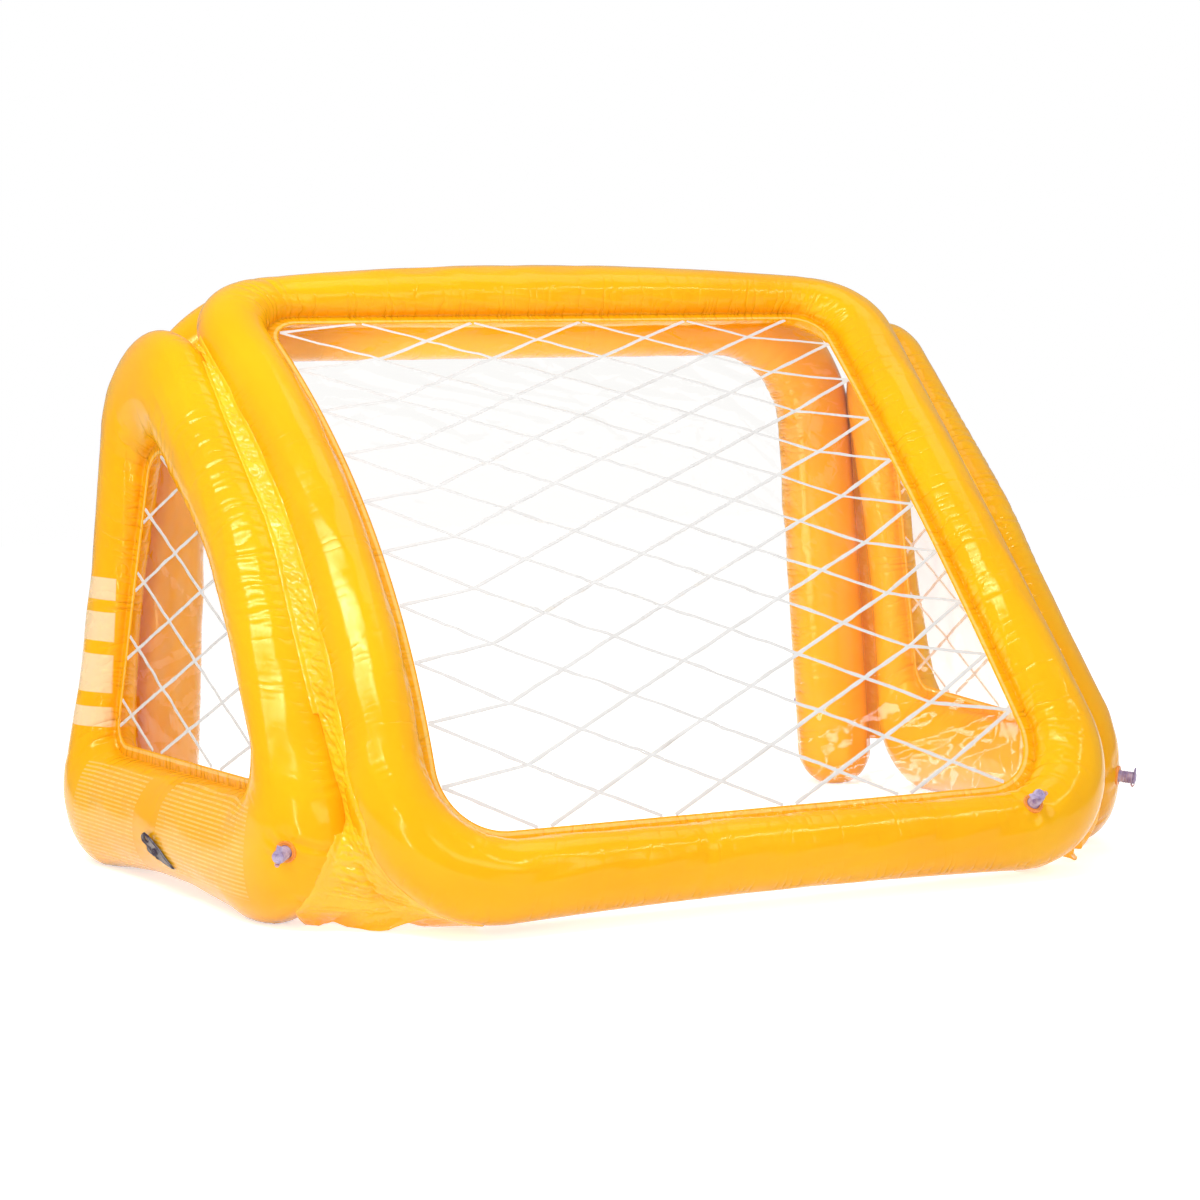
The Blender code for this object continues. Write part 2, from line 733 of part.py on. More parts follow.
def net_object(name, nodes, links, place, collection):
    points, faces = net_surface(nodes, links)
    mesh = bpy.data.meshes.new(name)
    mesh.from_pydata(place(points, NET_LIFT).tolist(), [], faces)
    made = add_object(name, mesh, "white_print", collection)
    solidify(made, NET_THICKNESS)
    return made


def back_net(chamber, collection):
    """Diamond net of the back: crossings in staggered rows, the outermost drawn to the weld margin in a V."""
    outline = inset(chamber.window, FILM_EDGE_GAP + NET_EDGE_GAP)
    nodes, index = [], {}
    first = BACK_WINDOW_BOTTOM - BACK_NET_OVERRUN
    pitch = (BACK_WINDOW_TOP - first) / (BACK_NET_ROWS - 1)
    for row in range(BACK_NET_ROWS):
        border, step = (4, -2) if row % 2 else (-5, 2)
        for column in range(border, border + 5 * step, step):
            point = np.array([(column + 0.5) * BACK_NET_COLUMN, first + row * pitch])
            if column == border and 0 < row < BACK_NET_ROWS - 1:
                point[1] += BACK_NET_BORDER_RISE
                while inside(outline, point):
                    point[0] -= step * NET_LINE / 40
                point[0] += step * NET_LINE / 20
            index[row, column] = len(nodes)
            nodes.append(point)
    links = []
    for (row, column), a in index.items():
        for other in (column - 1, column + 1):
            if (row + 1, other) in index:
                links.append((a, index[row + 1, other]))
    return net_object("back_net", *clip_links(np.array(nodes), links, outline), place_back, collection)


def side_net(name, chamber, collection):
    outline = inset(chamber.window, FILM_EDGE_GAP + NET_EDGE_GAP)
    nodes, index, links = [], {}, []
    for row in range(-3, 9):
        for column in range(-2, 7):
            if (row + column) % 2 == 0:
                continue
            index[row, column] = len(nodes)
            nodes.append((SIDE_NET_ALONG + SIDE_NET_COLUMN * column, SIDE_NET_UP + SIDE_NET_ROW * row))
    for (row, column), a in index.items():
        for other in (column - 1, column + 1):
            if (row + 1, other) in index:
                links.append((a, index[row + 1, other]))
    return net_object(name, *clip_links(np.array(nodes), links, outline), chamber.place, collection)


class Post:
    """A straight stretch of the mouth frame's tube, from one point to another."""

    def __init__(self, start, end):
        self.start = np.array(start, float)
        self.end = np.array(end, float)

    def centre(self, share):
        return self.start + share * (self.end - self.start)

    def touch(self, share, direction, gap):
        along = unit(self.end - self.start)
        square = unit(direction - along * (along @ direction))
        return self.centre(share) + square * (MOUTH_TUBE + gap)


def mouth_post(side):
    foot = (side * mouth_foot_x(), MOUTH_FOOT_Y, 0.0)
    return Post(foot, (side * mouth_top_x(), MOUTH_TOP_Y, MOUTH_TOP_Z))


def valley_directions(near, far, depth, outwards):
    """Directions from the centres of two tubes to a strip's row, at an angle off the line between them."""
    between = unit(far - near)
    lift = unit(outwards - between * (between @ outwards)) * math.sin(depth)
    return between * math.cos(depth) + lift, -between * math.cos(depth) + lift


def valley_rows(first, second, places, depth, outwards):
    """Rows of a strip in the valley between two tubes; places pair a place on each tube."""
    rows = []
    for one, other in places:
        there, here = valley_directions(first.centre(one), second.centre(other), depth, outwards)
        rows.append((first.touch(one, there, SEAM_OFFSET), second.touch(other, here, SEAM_OFFSET)))
    return rows


def strip_object(name, rows, collection):
    """A strip of sheet through rows of two end points."""
    edges = [(start, (start + end) / 2, end) for start, end in rows]
    made = add_object(name, grid_mesh(name, np.array(edges)), "orange_vinyl", collection)
    solidify(made, SEAM_THICKNESS)
    return made


def height_of(point):
    return point[2]


def back_seam(name, back, ring, side, collection):
    """From the roof down the valley between the two legs, then as an apron round the rear bottom corner,
    its hem near the floor."""
    leg = (12, 31) if side > 0 else (41, 60)
    places = []
    for height in (*np.linspace(BACK_SEAM_TOP_Z, BACK_SEAM_APRON_Z, 25), BACK_SEAM_HEM_Z):
        there = back.station_near(height_of, height, *leg)
        places.append((there, ring.station_near(height_of, height, 14, 44)))
    outwards = np.array([0.0, math.sin(BACK_SLOPE), math.cos(BACK_SLOPE)])
    hem = places.pop()
    there, here = places[-1]
    rows = valley_rows(back, ring, places, BACK_SEAM_DEPTH, outwards)
    directions = valley_directions(back.centre(there), ring.centre(here), BACK_SEAM_DEPTH, outwards)
    turn, counter_turn = back.toward(there, directions[0]), ring.toward(here, directions[1])
    for part in np.linspace(0, 1, 9)[1:]:
        keep = 1 - part
        start = back.at(there * keep + hem[0] * part, turn * keep + BACK_SEAM_HEM_TURN * part, SEAM_OFFSET)
        rows.append((start, ring.at(here * keep + hem[1] * part, counter_turn * keep, SEAM_OFFSET)))
    return strip_object(name, rows, collection)


def front_seam(name, ring, side, collection):
    post = mouth_post(side)
    places = []
    for height in np.linspace(FRONT_SEAM_BOTTOM_Z, FRONT_SEAM_TOP_Z, 12):
        places.append((height / MOUTH_TOP_Z, ring.station_near(height_of, height, 47, 59)))
    outwards = np.array([side, -1.0, 0.0])
    return strip_object(name, valley_rows(post, ring, places, FRONT_SEAM_DEPTH, outwards), collection)


def roof_seam(back, collection):
    bar = Post((mouth_top_x(), MOUTH_TOP_Y, MOUTH_TOP_Z), (-mouth_top_x(), MOUTH_TOP_Y, MOUTH_TOP_Z))
    places = []
    for across in np.linspace(ROOF_SEAM_HALF, -ROOF_SEAM_HALF, 9):
        share = (mouth_top_x() - across) / (2 * mouth_top_x())
        places.append((share, back.station_near(lambda point: point[0], across, 31, 41)))
    rows = valley_rows(bar, back, places, ROOF_SEAM_DEPTH, np.array([0.0, 0.0, 1.0]))
    return strip_object("roof_seam", rows, collection)


def stem_profile():
    """Closed profile of the stem: ridged side, lower rim and bore."""
    rim_top = -SEAT_DEPTH
    valley = STEM_RADIUS - RIDGE_DEPTH
    points = [(valley, STEM_PROUD), (STEM_RADIUS, STEM_PROUD - RIDGE_PITCH / 4)]
    for ridge in range(STEM_RIDGES):
        top = STEM_PROUD - RIDGE_PITCH * (ridge + 0.75)
        points.append((STEM_RADIUS, top))
        points.append((valley, top - RIDGE_PITCH / 4))
        points.append((STEM_RADIUS, top - RIDGE_PITCH / 2))
    points.append((STEM_RADIUS, rim_top))
    points.append((STEM_RIM_RADIUS, rim_top))
    points.append((STEM_RIM_RADIUS, rim_top - STEM_RIM_HEIGHT))
    points.append((STEM_BORE, rim_top - STEM_RIM_HEIGHT))
    points.append((STEM_BORE, STEM_PROUD))
    return points


def plug_profile():
    """Half profile of the plug: a cap with two raised rings on top, and a peg in the bore."""
    under = STEM_PROUD + GAP
    top = under + PLUG_HEIGHT
    low = top - PLUG_GROOVE
    return [
        (0.0, top),
        (PLUG_RING / 3, top),
        (PLUG_RING * 0.6, low),
        (PLUG_RING, top),
        (PLUG_RING * 1.3, low),
        (PLUG_RADIUS - PLUG_GROOVE, top),
        (PLUG_RADIUS, low),
        (PLUG_RADIUS, under),
        (PLUG_PEG_RADIUS, under),
        (PLUG_PEG_RADIUS, under - PLUG_PEG_LENGTH),
        (0.0, under - PLUG_PEG_LENGTH),
    ]


def base_profile():
    return [
        (BASE_HOLE, BASE_PROUD),
        (BASE_RADIUS - BASE_PROUD, BASE_PROUD),
        (BASE_RADIUS, 0.0),
        (BASE_RADIUS, GAP - SEAT_DEPTH),
        (BASE_HOLE, GAP - SEAT_DEPTH),
    ]


def box_object(name, low, high, slot, frame, collection):
    mesh = bpy.data.meshes.new(name)
    work = bmesh.new()
    bmesh.ops.create_cube(work, size=1.0)
    bmesh.ops.scale(work, vec=Vector(high) - Vector(low), verts=work.verts)
    bmesh.ops.translate(work, vec=(Vector(low) + Vector(high)) / 2, verts=work.verts)
    work.to_mesh(mesh)
    work.free()
    made = add_object(name, mesh, slot, collection)
    made.matrix_world = frame
    return made


def join(target, piece):
    step = target.modifiers.new(piece.name, "BOOLEAN")
    step.operation = "UNION"
    step.solver = "EXACT"
    step.object = piece


def strap(name, frame, collection):
    """The thin strap that keeps the plug on its stem, bowed out between the two."""
    high = STEM_PROUD + GAP + PLUG_HEIGHT / 2
    low = STEM_PROUD - STRAP_DROP
    near = STEM_RADIUS + STRAP_THICKNESS / 2 + 2 * GAP
    rows = []
    for part in np.linspace(0, 1, 7):
        reach = near + STRAP_BULGE * math.sin(math.pi * part)
        rows.append([(-reach, side * STRAP_WIDTH / 2, low + (high - low) * part) for side in (-1, 1)])
    made = add_object(name, grid_mesh(name, np.array(rows)), "valve_lilac", collection)
    made.matrix_world = frame
    solidify(made, STRAP_THICKNESS)
    return made


def valve(prefix, chamber_object, frame, parts, cutters):
    """Base ring in a seat, stem through it, plug in the stem's bore, strap, and check flap below."""
    seat = cylinder_cutter(prefix + "_seat", SEAT_RADIUS, -SEAT_DEPTH, SEAT_RADIUS, frame, cutters)
    socket = cylinder_cutter(prefix + "_socket", SOCKET_RADIUS, -SOCKET_DEPTH, SEAT_RADIUS, frame, cutters)
    cut(chamber_object, seat)
    cut(chamber_object, socket)
    turned(prefix + "_base", base_profile(), "valve_base", frame, parts)
    turned(prefix + "_stem", stem_profile(), "valve_lilac", frame, parts)
    plug = turned(prefix + "_plug", plug_profile(), "valve_lilac", frame, parts)
    foot = STEM_PROUD + GAP + (PLUG_HEIGHT - PULL_TAB_THICKNESS) / 3
    low = (PLUG_RADIUS * 0.7, -PULL_TAB_WIDTH / 2, foot)
    high = (PLUG_RADIUS + PULL_TAB_LENGTH, PULL_TAB_WIDTH / 2, foot + PULL_TAB_THICKNESS)
    join(plug, hide_cutter(box_object(prefix + "_pull_tab", low, high, None, frame, cutters)))
    strap(prefix + "_strap", frame, parts)
    mesh = bpy.data.meshes.new(prefix + "_flap")
    work = bmesh.new()
    bmesh.ops.create_cone(
        work, cap_ends=True, segments=16, radius1=FLAP_RADIUS, radius2=FLAP_RADIUS, depth=FLAP_THICKNESS
    )
    bmesh.ops.translate(work, vec=(FLAP_RADIUS + GAP, 0, 0), verts=work.verts)
    work.to_mesh(mesh)
    work.free()
    flap = add_object(prefix + "_flap", mesh, "valve_lilac", parts)
    flap.matrix_world = frame @ Matrix.Translation(flap_hinge())


def flap_hinge():
    """Where the check flap's hinge lies in the valve's frame."""
    return Vector((-FLAP_RADIUS - GAP, 0, -SEAT_DEPTH - STEM_RIM_HEIGHT - GAP - FLAP_THICKNESS / 2))


def mouth_valve_frame():
    """On the left post's front, turned a little to the inside."""
    post = mouth_post(-1)
    along = unit(post.end - post.start)
    out = np.array([math.cos(MOUTH_VALVE_TURN), -math.sin(MOUTH_VALVE_TURN), 0.0])
    out = unit(out - along * (along @ out))
    return frame_matrix(post.touch(MOUTH_VALVE_HEIGHT, out, 0.0), along, np.cross(out, along), out)


def rope_tab(name, ring, parts, cutters):
    """A moulded patch on the pontoon, its upper lobe with the rope's hole standing off the tube."""
    outline = np.array(TAB_OUTLINE)
    station = ring.station_near(lambda point: point[1], ring.place(np.array([TAB_ALONG, 0.0]), 0.0)[1], 6, 12)
    step = np.linalg.norm(ring.at(station + 0.5, TAB_ANGLE) - ring.at(station - 0.5, TAB_ANGLE))
    radius = float(np.interp(station, range(len(ring.half)), ring.half))

    def spot(along, up):
        raised = TAB_LIFT * max(0.0, up / outline[-1, 0])
        gap = TAB_CLEARANCE + TAB_THICKNESS / 2 + raised
        return ring.at(station + along / step, TAB_ANGLE + up / radius, gap)

    rows = []
    for up, left, right in outline:
        rows.append([spot(along, up) for along in np.linspace(left, right, 5)])
    made = add_object(name, grid_mesh(name, np.array(rows)), "dark_tab", parts)
    solidify(made, TAB_THICKNESS)
    boss_frame = ring.frame_at(station + TAB_BOSS_ALONG / step, TAB_ANGLE + TAB_BOSS_UP / radius)
    low = TAB_CLEARANCE + TAB_THICKNESS / 2
    high = low + TAB_THICKNESS / 2 + TAB_BOSS_HEIGHT
    boss = cylinder_cutter(name + "_boss", TAB_BOSS_RADIUS, low, high, boss_frame, cutters, 16)
    join(made, boss)
    hole_frame = ring.frame_at(station + TAB_HOLE_ALONG / step, TAB_ANGLE + TAB_HOLE_UP / radius)
    hole = cylinder_cutter(name + "_hole", TAB_HOLE, -0.01, 0.03, hole_frame, cutters, 16)
    cut(made, hole)
    return made


def valve_frames(back, sides):
    """Each valve's matrix: origin on the tube, z out of it."""
    frames = {"back_valve": back.frame_at(BACK_VALVE_STATION, BACK_VALVE_ANGLE)}
    for name, ring in sides.items():
        frames["side_valve_" + name] = ring.frame_at(SIDE_VALVE_STATION, SIDE_VALVE_ANGLE)
    frames["mouth_valve"] = mouth_valve_frame()
    return frames


def build():
    clear_scene()
    parts = bpy.data.collections.new("inflatable_goal")
    cutters = bpy.data.collections.new("cutters")
    bpy.context.scene.collection.children.link(parts)
    bpy.context.scene.collection.children.link(cutters)
    cutters.hide_render = True
    back = back_chamber()
    sides = {"right": side_chamber(1), "left": side_chamber(-1)}
    floor = floor_cutter(cutters)
    chambers = {"back_valve": add_object("back_frame", back.mesh("back_frame"), "orange_vinyl", parts)}
    for name, ring in sides.items():
        title = "side_frame_" + name
        chambers["side_valve_" + name] = add_object(title, ring.mesh(title), "orange_vinyl", parts)
        cut(chambers["side_valve_" + name], floor)
    chambers["mouth_valve"] = mouth_frame(parts)
    cut(chambers["mouth_valve"], floor)
    back_window(back, parts)
    back_net(back, parts)
    for name, ring in sides.items():
        side = 1 if name == "right" else -1
        side_window("side_window_" + name, ring, parts)
        side_net("side_net_" + name, ring, parts)
        back_seam("back_seam_" + name, back, ring, side, parts)
        front_seam("front_seam_" + name, ring, side, parts)
        rope_tab("rope_tab_" + name, ring, parts, cutters)
    roof_seam(back, parts)
    for prefix, frame in valve_frames(back, sides).items():
        valve(prefix, chambers[prefix], frame, parts, cutters)


build()
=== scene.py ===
"""Looks of the inflatable goal: glossy vinyl rings, crinkled clear windows, printed nets, seams, valves, tabs.

Metres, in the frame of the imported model. Outlines and places repeat those of the part's source.
"""
import math

import bmesh
import bpy
import numpy as np
from mathutils import Matrix


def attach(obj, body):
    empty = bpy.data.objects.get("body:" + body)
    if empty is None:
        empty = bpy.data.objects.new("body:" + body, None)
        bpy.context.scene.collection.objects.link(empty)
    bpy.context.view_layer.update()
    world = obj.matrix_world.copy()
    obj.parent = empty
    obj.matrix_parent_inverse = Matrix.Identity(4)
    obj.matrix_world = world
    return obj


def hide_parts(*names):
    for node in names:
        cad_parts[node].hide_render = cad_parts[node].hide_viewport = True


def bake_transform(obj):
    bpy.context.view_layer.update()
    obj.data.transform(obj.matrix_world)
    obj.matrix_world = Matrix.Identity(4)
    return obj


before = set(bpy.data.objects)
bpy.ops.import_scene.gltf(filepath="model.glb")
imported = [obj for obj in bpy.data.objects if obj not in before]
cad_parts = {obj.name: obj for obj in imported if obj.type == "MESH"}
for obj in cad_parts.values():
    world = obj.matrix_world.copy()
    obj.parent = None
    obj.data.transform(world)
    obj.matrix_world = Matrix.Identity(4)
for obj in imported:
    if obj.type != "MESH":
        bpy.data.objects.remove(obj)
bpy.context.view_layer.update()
FINE = 14  # fine points to each station of the source's outlines


def unit(vectors):
    """Vectors divided by their lengths."""
    vectors = np.asarray(vectors, float)
    return vectors / np.linalg.norm(vectors, axis=-1, keepdims=True)


def smooth(value, low, high):
    """0 below low, 1 above high and 3t^2 - 2t^3 in between."""
    part = np.clip((np.asarray(value, float) - low) / (high - low), 0, 1)
    return part * part * (3 - 2 * part)


def bell(value, middle, width):
    """exp(-((value - middle) / width)^2)."""
    return np.exp(-(((np.asarray(value, float) - middle) / width) ** 2))


def ripple(x, seed, waves=5, low=1.0, high=6.0):
    """Smooth noise from -1 to 1: a sum of sines of random rate and phase."""
    pick = np.random.default_rng(seed)
    rates, phases = pick.uniform(low, high, waves), pick.uniform(0, 2 * math.pi, waves)
    x = np.asarray(x, float)[..., None]
    return np.sin(x * rates + phases).sum(-1) / waves**0.5 / 1.2


def folds(x, y, seed, count, rate):
    """Foil-like folds: the mean of count zigzags |asin(sin)| in random directions over the plane of x and y."""
    pick = np.random.default_rng(seed)
    turns, phases = pick.uniform(0, math.pi, count), pick.uniform(0, 2 * math.pi, count)
    rates = rate * pick.uniform(0.5, 1.6, count)
    across = x[..., None] * np.cos(turns) + y[..., None] * np.sin(turns)
    bent = across * rates + phases + 1.4 * np.sin(across * rates * 0.37 + phases * 2)
    return (np.abs(np.arcsin(np.sin(bent))) / (math.pi / 2)).mean(-1) * 2 - 1


def valley(phase, power):
    """1 - |sin(pi phase)|^power: a narrow ridge at each whole number."""
    return 1 - np.abs(np.sin(math.pi * phase)) ** power


def travelled(path):
    """Length along a path up to each of its points, as a column."""
    return np.concatenate([[0.0], np.cumsum(np.linalg.norm(np.diff(path, axis=0), axis=1))])[:, None]


def normals_of(points, closed=False):
    """Unit normals of a grid, open or closed both ways: the cross product of its two differences."""

    def slope(axis):
        if closed:
            return np.roll(points, -1, axis) - np.roll(points, 1, axis)
        return np.gradient(points, axis=axis)

    return unit(np.cross(slope(0), slope(1)))


def linked(name, data):
    """A new object in the scene."""
    made = bpy.data.objects.new(name, data)
    bpy.context.scene.collection.objects.link(made)
    return made


def mesh_of(name, points, faces):
    mesh = bpy.data.meshes.new(name)
    mesh.from_pydata(points.reshape(-1, 3).tolist(), [], faces.reshape(-1, 4).tolist())
    mesh.shade_smooth()
    return mesh


def grid_object(name, points, slot, body, node, close_rows=False, close_columns=False, maps=None, flip=False):
    """A piece of quads over a grid of points. The UV arrays in maps are one longer where the grid is closed."""
    rows, columns = points.shape[:2]
    r, c = np.meshgrid(np.arange(rows - 1 + close_rows), np.arange(columns - 1 + close_columns), indexing="ij")
    order = [(0, 0), (1, 0), (1, 1), (0, 1)]
    if flip:
        order = order[::-1]
    faces = np.stack([(r + dr) % rows * columns + (c + dc) % columns for dr, dc in order], -1)
    mesh = mesh_of(name, points, faces)
    for title, values in (maps or {}).items():
        spot = np.stack([(r + dr) * values.shape[1] + (c + dc) for dr, dc in order], -1).reshape(-1)
        layer = mesh.uv_layers.new(name=title)
        layer.data.foreach_set("uv", values.reshape(-1, 2)[spot].astype(np.float32).ravel())
    return keep(name, mesh, slot, body, node)


def keep(name, mesh, slot, body, node=None):
    """The mesh as a piece in a finish of this file and its slot of the record, in place of a node. It rides on a
    body, or on none where a blend joins it to two."""
    made = linked(name, mesh)
    mesh.materials.append(finish[slot])
    if body:
        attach(made, body)
    if node:
        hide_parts(node)
    return made


def thicken(made, thickness):
    """Gives a sheet its thickness, half of it on each side."""
    shell = made.modifiers.new("thickness", "SOLIDIFY")
    shell.thickness, shell.offset = thickness, 0.0


def merged(made):
    """The object with its doubles merged and its faces turned outwards."""
    work = bmesh.new()
    work.from_mesh(made.data)
    bmesh.ops.remove_doubles(work, verts=work.verts, dist=0.00001)
    bmesh.ops.recalc_face_normals(work, faces=work.faces)
    work.to_mesh(made.data)
    work.free()
    return made


# Outlines and planes, as in the part's source


def rounded_outline(corners, fillets, edge_steps, arc_steps):
    """Closed outline with each corner rounded by an arc, as an array of points."""
    corners = np.array(corners, float)
    count = len(corners)
    arcs = []
    for i in range(count):
        before = unit(corners[i - 1] - corners[i])
        after = unit(corners[(i + 1) % count] - corners[i])
        half = 0.5 * math.acos(float(before @ after))
        centre = corners[i] + unit(before + after) * fillets[i] / math.sin(half)
        start = corners[i] + before * fillets[i] / math.tan(half) - centre
        end = corners[i] + after * fillets[i] / math.tan(half) - centre
        turn = math.pi - 2 * half
        part = np.linspace(0, 1, arc_steps[i] * FINE + 1)[:, None]
        arcs.append(centre + (np.sin((1 - part) * turn) * start + np.sin(part * turn) * end) / math.sin(turn))
    points = []
    for i in range(count):
        part = np.linspace(0, 1, edge_steps[i] * FINE + 1)[1:-1, None]
        points += [arcs[i], arcs[i][-1] * (1 - part) + arcs[(i + 1) % count][0] * part]
    return np.vstack(points)


def offset_corners(corners, distances):
    """Corners of the polygon whose edge i lies that far outside this one's, anticlockwise."""
    corners = np.array(corners, float)
    along = unit(np.roll(corners, -1, axis=0) - corners)
    out = np.stack([along[:, 1], -along[:, 0]], axis=1)
    reach = (out * corners).sum(1) + np.array(distances)
    normals = np.stack([np.roll(out, 1, axis=0), out], axis=1)
    return np.linalg.solve(normals, np.stack([np.roll(reach, 1), reach], axis=1)[..., None])[..., 0]


WELD = 0.016
BACK_RISE = 0.935
BACK_SLOPE = math.radians(45.97)
BACK_UP = np.array([0.0, -math.cos(BACK_SLOPE), math.sin(BACK_SLOPE)])
BACK_OUT = np.array([0.0, math.sin(BACK_SLOPE), math.cos(BACK_SLOPE)])
BACK_FOOT = np.array([0.0, 0.3965, 0.0594])
TOE, LEAN = math.radians(8.6), math.radians(7.0)
TURN = np.array(Matrix.Rotation(TOE, 3, "Z"))
SIDE_ALONG = TURN @ (0, 1, 0)
SIDE_UP = TURN @ (-math.sin(LEAN), 0, math.cos(LEAN))
SIDE_OUT = TURN @ (math.cos(LEAN), 0, math.sin(LEAN))
SIDE_FOOT = np.array([0.6074, -0.0378, 0.0])


def bow(up):
    """4t(1 - t) of the height up the back."""
    part = up / BACK_RISE
    return 4 * part * (1 - part)


def place_back(flat, height):
    """Points of the back's leaning plane, lifted by its bow and by height."""
    up = flat[..., 1:2]
    height = np.broadcast_to(height, flat.shape[:-1])[..., None]
    across = flat[..., :1] * np.array([1.0, 0, 0])
    return BACK_FOOT + across + up * BACK_UP + (0.055 * bow(up) + height) * BACK_OUT


def place_side(side):
    """Function for the points of a side ring's plane, 1 for right and -1 for left."""

    def place(flat, height):
        height = np.broadcast_to(height, flat.shape[:-1])[..., None]
        world = SIDE_FOOT + flat[..., :1] * SIDE_ALONG + flat[..., 1:] * SIDE_UP + height * SIDE_OUT
        return world * (side, 1, 1)

    return place


def waist(outline):
    """The back's outline drawn in by 7.5% of its bow."""
    return np.stack([outline[:, 0] * (1 - 0.075 * bow(outline[:, 1])), outline[:, 1]], axis=1)


class Ring:
    """A welded ring between two outlines. Stations count the points of the source's outline."""

    def __init__(self, window, outer, place, limit, roundness=None):
        self.window, self.outer, self.place = window, outer, place
        self.across = unit(outer - window)
        root = window + WELD * self.across
        self.middle = (root + outer) / 2
        self.half = np.linalg.norm(outer - root, axis=1) / 2
        self.thick = self.half / (1 + (self.half / limit) ** 6) ** (1 / 6)
        if roundness is not None:
            self.thick = self.thick * roundness(self.middle[:, 1])
        self.count = len(window)
        self.pull = np.zeros((self.count, 3))

    def take(self, values, stations):
        """Values at stations, straight between the fine points."""
        spot = np.asarray(stations, float) * FINE
        first = np.floor(spot).astype(int)
        share = (spot - first).reshape(spot.shape + (1,) * (values.ndim - 1))
        return values[first % self.count] * (1 - share) + values[(first + 1) % self.count] * share

    def at(self, stations, angles, gap=0.0):
        """World points round the tube: middle + (half cos, thick sin), a gap off it."""
        stations, angles = np.broadcast_arrays(np.asarray(stations, float), np.asarray(angles, float))
        reach = (self.take(self.half, stations) + gap) * np.cos(angles)
        height = (self.take(self.thick, stations) + gap) * np.sin(angles)
        flat = self.take(self.middle, stations) + reach[..., None] * self.take(self.across, stations)
        return self.place(flat, height)

    def skin(self, stations, angles, gap=0.0):
        """at(), moved by the station's pull times the square of the cosine between pull and normal."""
        stations, angles = np.broadcast_arrays(np.asarray(stations, float), np.asarray(angles, float))
        out = self.outwards(stations, angles, 0.03)[0]
        return self.at(stations, angles, gap) + leaned(out, self.take(self.pull, stations))

    def outwards(self, stations, angles, step):
        """Unit normals out of the tube, and its direction, from differences of twice the step."""
        along = self.at(stations + step, angles) - self.at(stations - step, angles)
        around = self.at(stations, angles + step) - self.at(stations, angles - step)
        out = unit(np.cross(along, around))
        ray = self.at(stations, angles) - self.centre(stations)
        return out * np.sign((out * ray).sum(-1, keepdims=True)), along

    def centre(self, stations):
        return self.place(self.take(self.middle, stations), 0.0)

    def toward(self, stations, directions):
        """The angle of each station at which the tube faces its direction."""
        angles = np.radians(np.arange(-180.0, 180.0, 0.5))
        rays = unit(self.at(stations[:, None], angles[None, :]) - self.centre(stations)[:, None, :])
        return angles[np.argmax((rays * directions[:, None, :]).sum(-1), axis=1)]

    def station_near(self, axis, values, first, last):
        """Stations between two where the outer edge's coordinate takes the values."""
        stations = np.arange(first, last + 0.05, 0.05)
        found = self.at(stations, 0.0)[:, axis]
        order = np.argsort(found)
        return np.interp(values, found[order], stations[order])

    def frame_at(self, station, angle):
        """Matrix on the tube, z out of it and x along the ring."""
        out, along = self.outwards(station, angle, 0.05)
        side = unit(np.cross(out, along))
        return frame_matrix(self.at(station, angle), np.cross(side, out), side, out)


def leaned(out, pull):
    """pull times the square of the positive cosine between it and the normals out."""
    size = np.maximum(np.linalg.norm(pull, axis=-1, keepdims=True), 1e-9)
    return pull * np.clip((out * pull).sum(-1, keepdims=True) / size, 0, 1) ** 2


def lean_on(ring, other, leg, other_leg, corner=0.0):
    """Lets a leg's skin lean on the leg beside it: 11 mm towards the other's middle at the same height, and by
    corner more round 0.11 m up."""
    spots = np.arange(leg[0] * FINE, leg[1] * FINE)
    here = ring.centre(spots / FINE)
    there = other.centre(other.station_near(2, np.linspace(0.02, 0.70, 140), *other_leg))
    there = there[np.argsort(there[:, 2])]
    beside = np.stack([np.interp(here[:, 2], there[:, 2], there[:, k]) for k in range(3)], axis=1)
    size = 0.011 * smooth(here[:, 2], 0.07, 0.11) * (1 - smooth(here[:, 2], 0.60, 0.69))
    size = size + corner * bell(here[:, 2], 0.11, 0.04)
    ring.pull[spots % ring.count] = unit(beside - here) * size[:, None]


def frame_matrix(point, x_axis, y_axis, z_axis):
    """A frame's matrix: its axes as columns and its origin at the point."""
    matrix = np.eye(4)
    matrix[:3, :4] = np.stack([x_axis, y_axis, z_axis, point], axis=1)
    return matrix


def back_ring():
    """The back: both bars' outer edges swell by 1 - (x / 0.43)^2 of 27 mm at the top and 10 mm at the bottom."""
    corners = [(-0.420, 0.0616), (0.420, 0.0616), (0.424, 0.890), (-0.424, 0.890)]
    outer = offset_corners(corners, [WELD + 2 * tube for tube in (0.0456, 0.046, 0.036, 0.046)])
    steps = ((6, 9, 6, 9), (6, 6, 6, 6))
    window = rounded_outline(corners, (0.085, 0.085, 0.045, 0.045), *steps)
    outer = waist(rounded_outline(outer, (0.19, 0.19, 0.14, 0.14), *steps))
    share = np.clip(1 - (outer[:, 0] / 0.43) ** 2, 0, 1)
    outer[:, 1] += np.where(outer[:, 1] > BACK_RISE / 2, 0.027, 0.010) * share
    return Ring(waist(window), outer, place_back, 0.08)


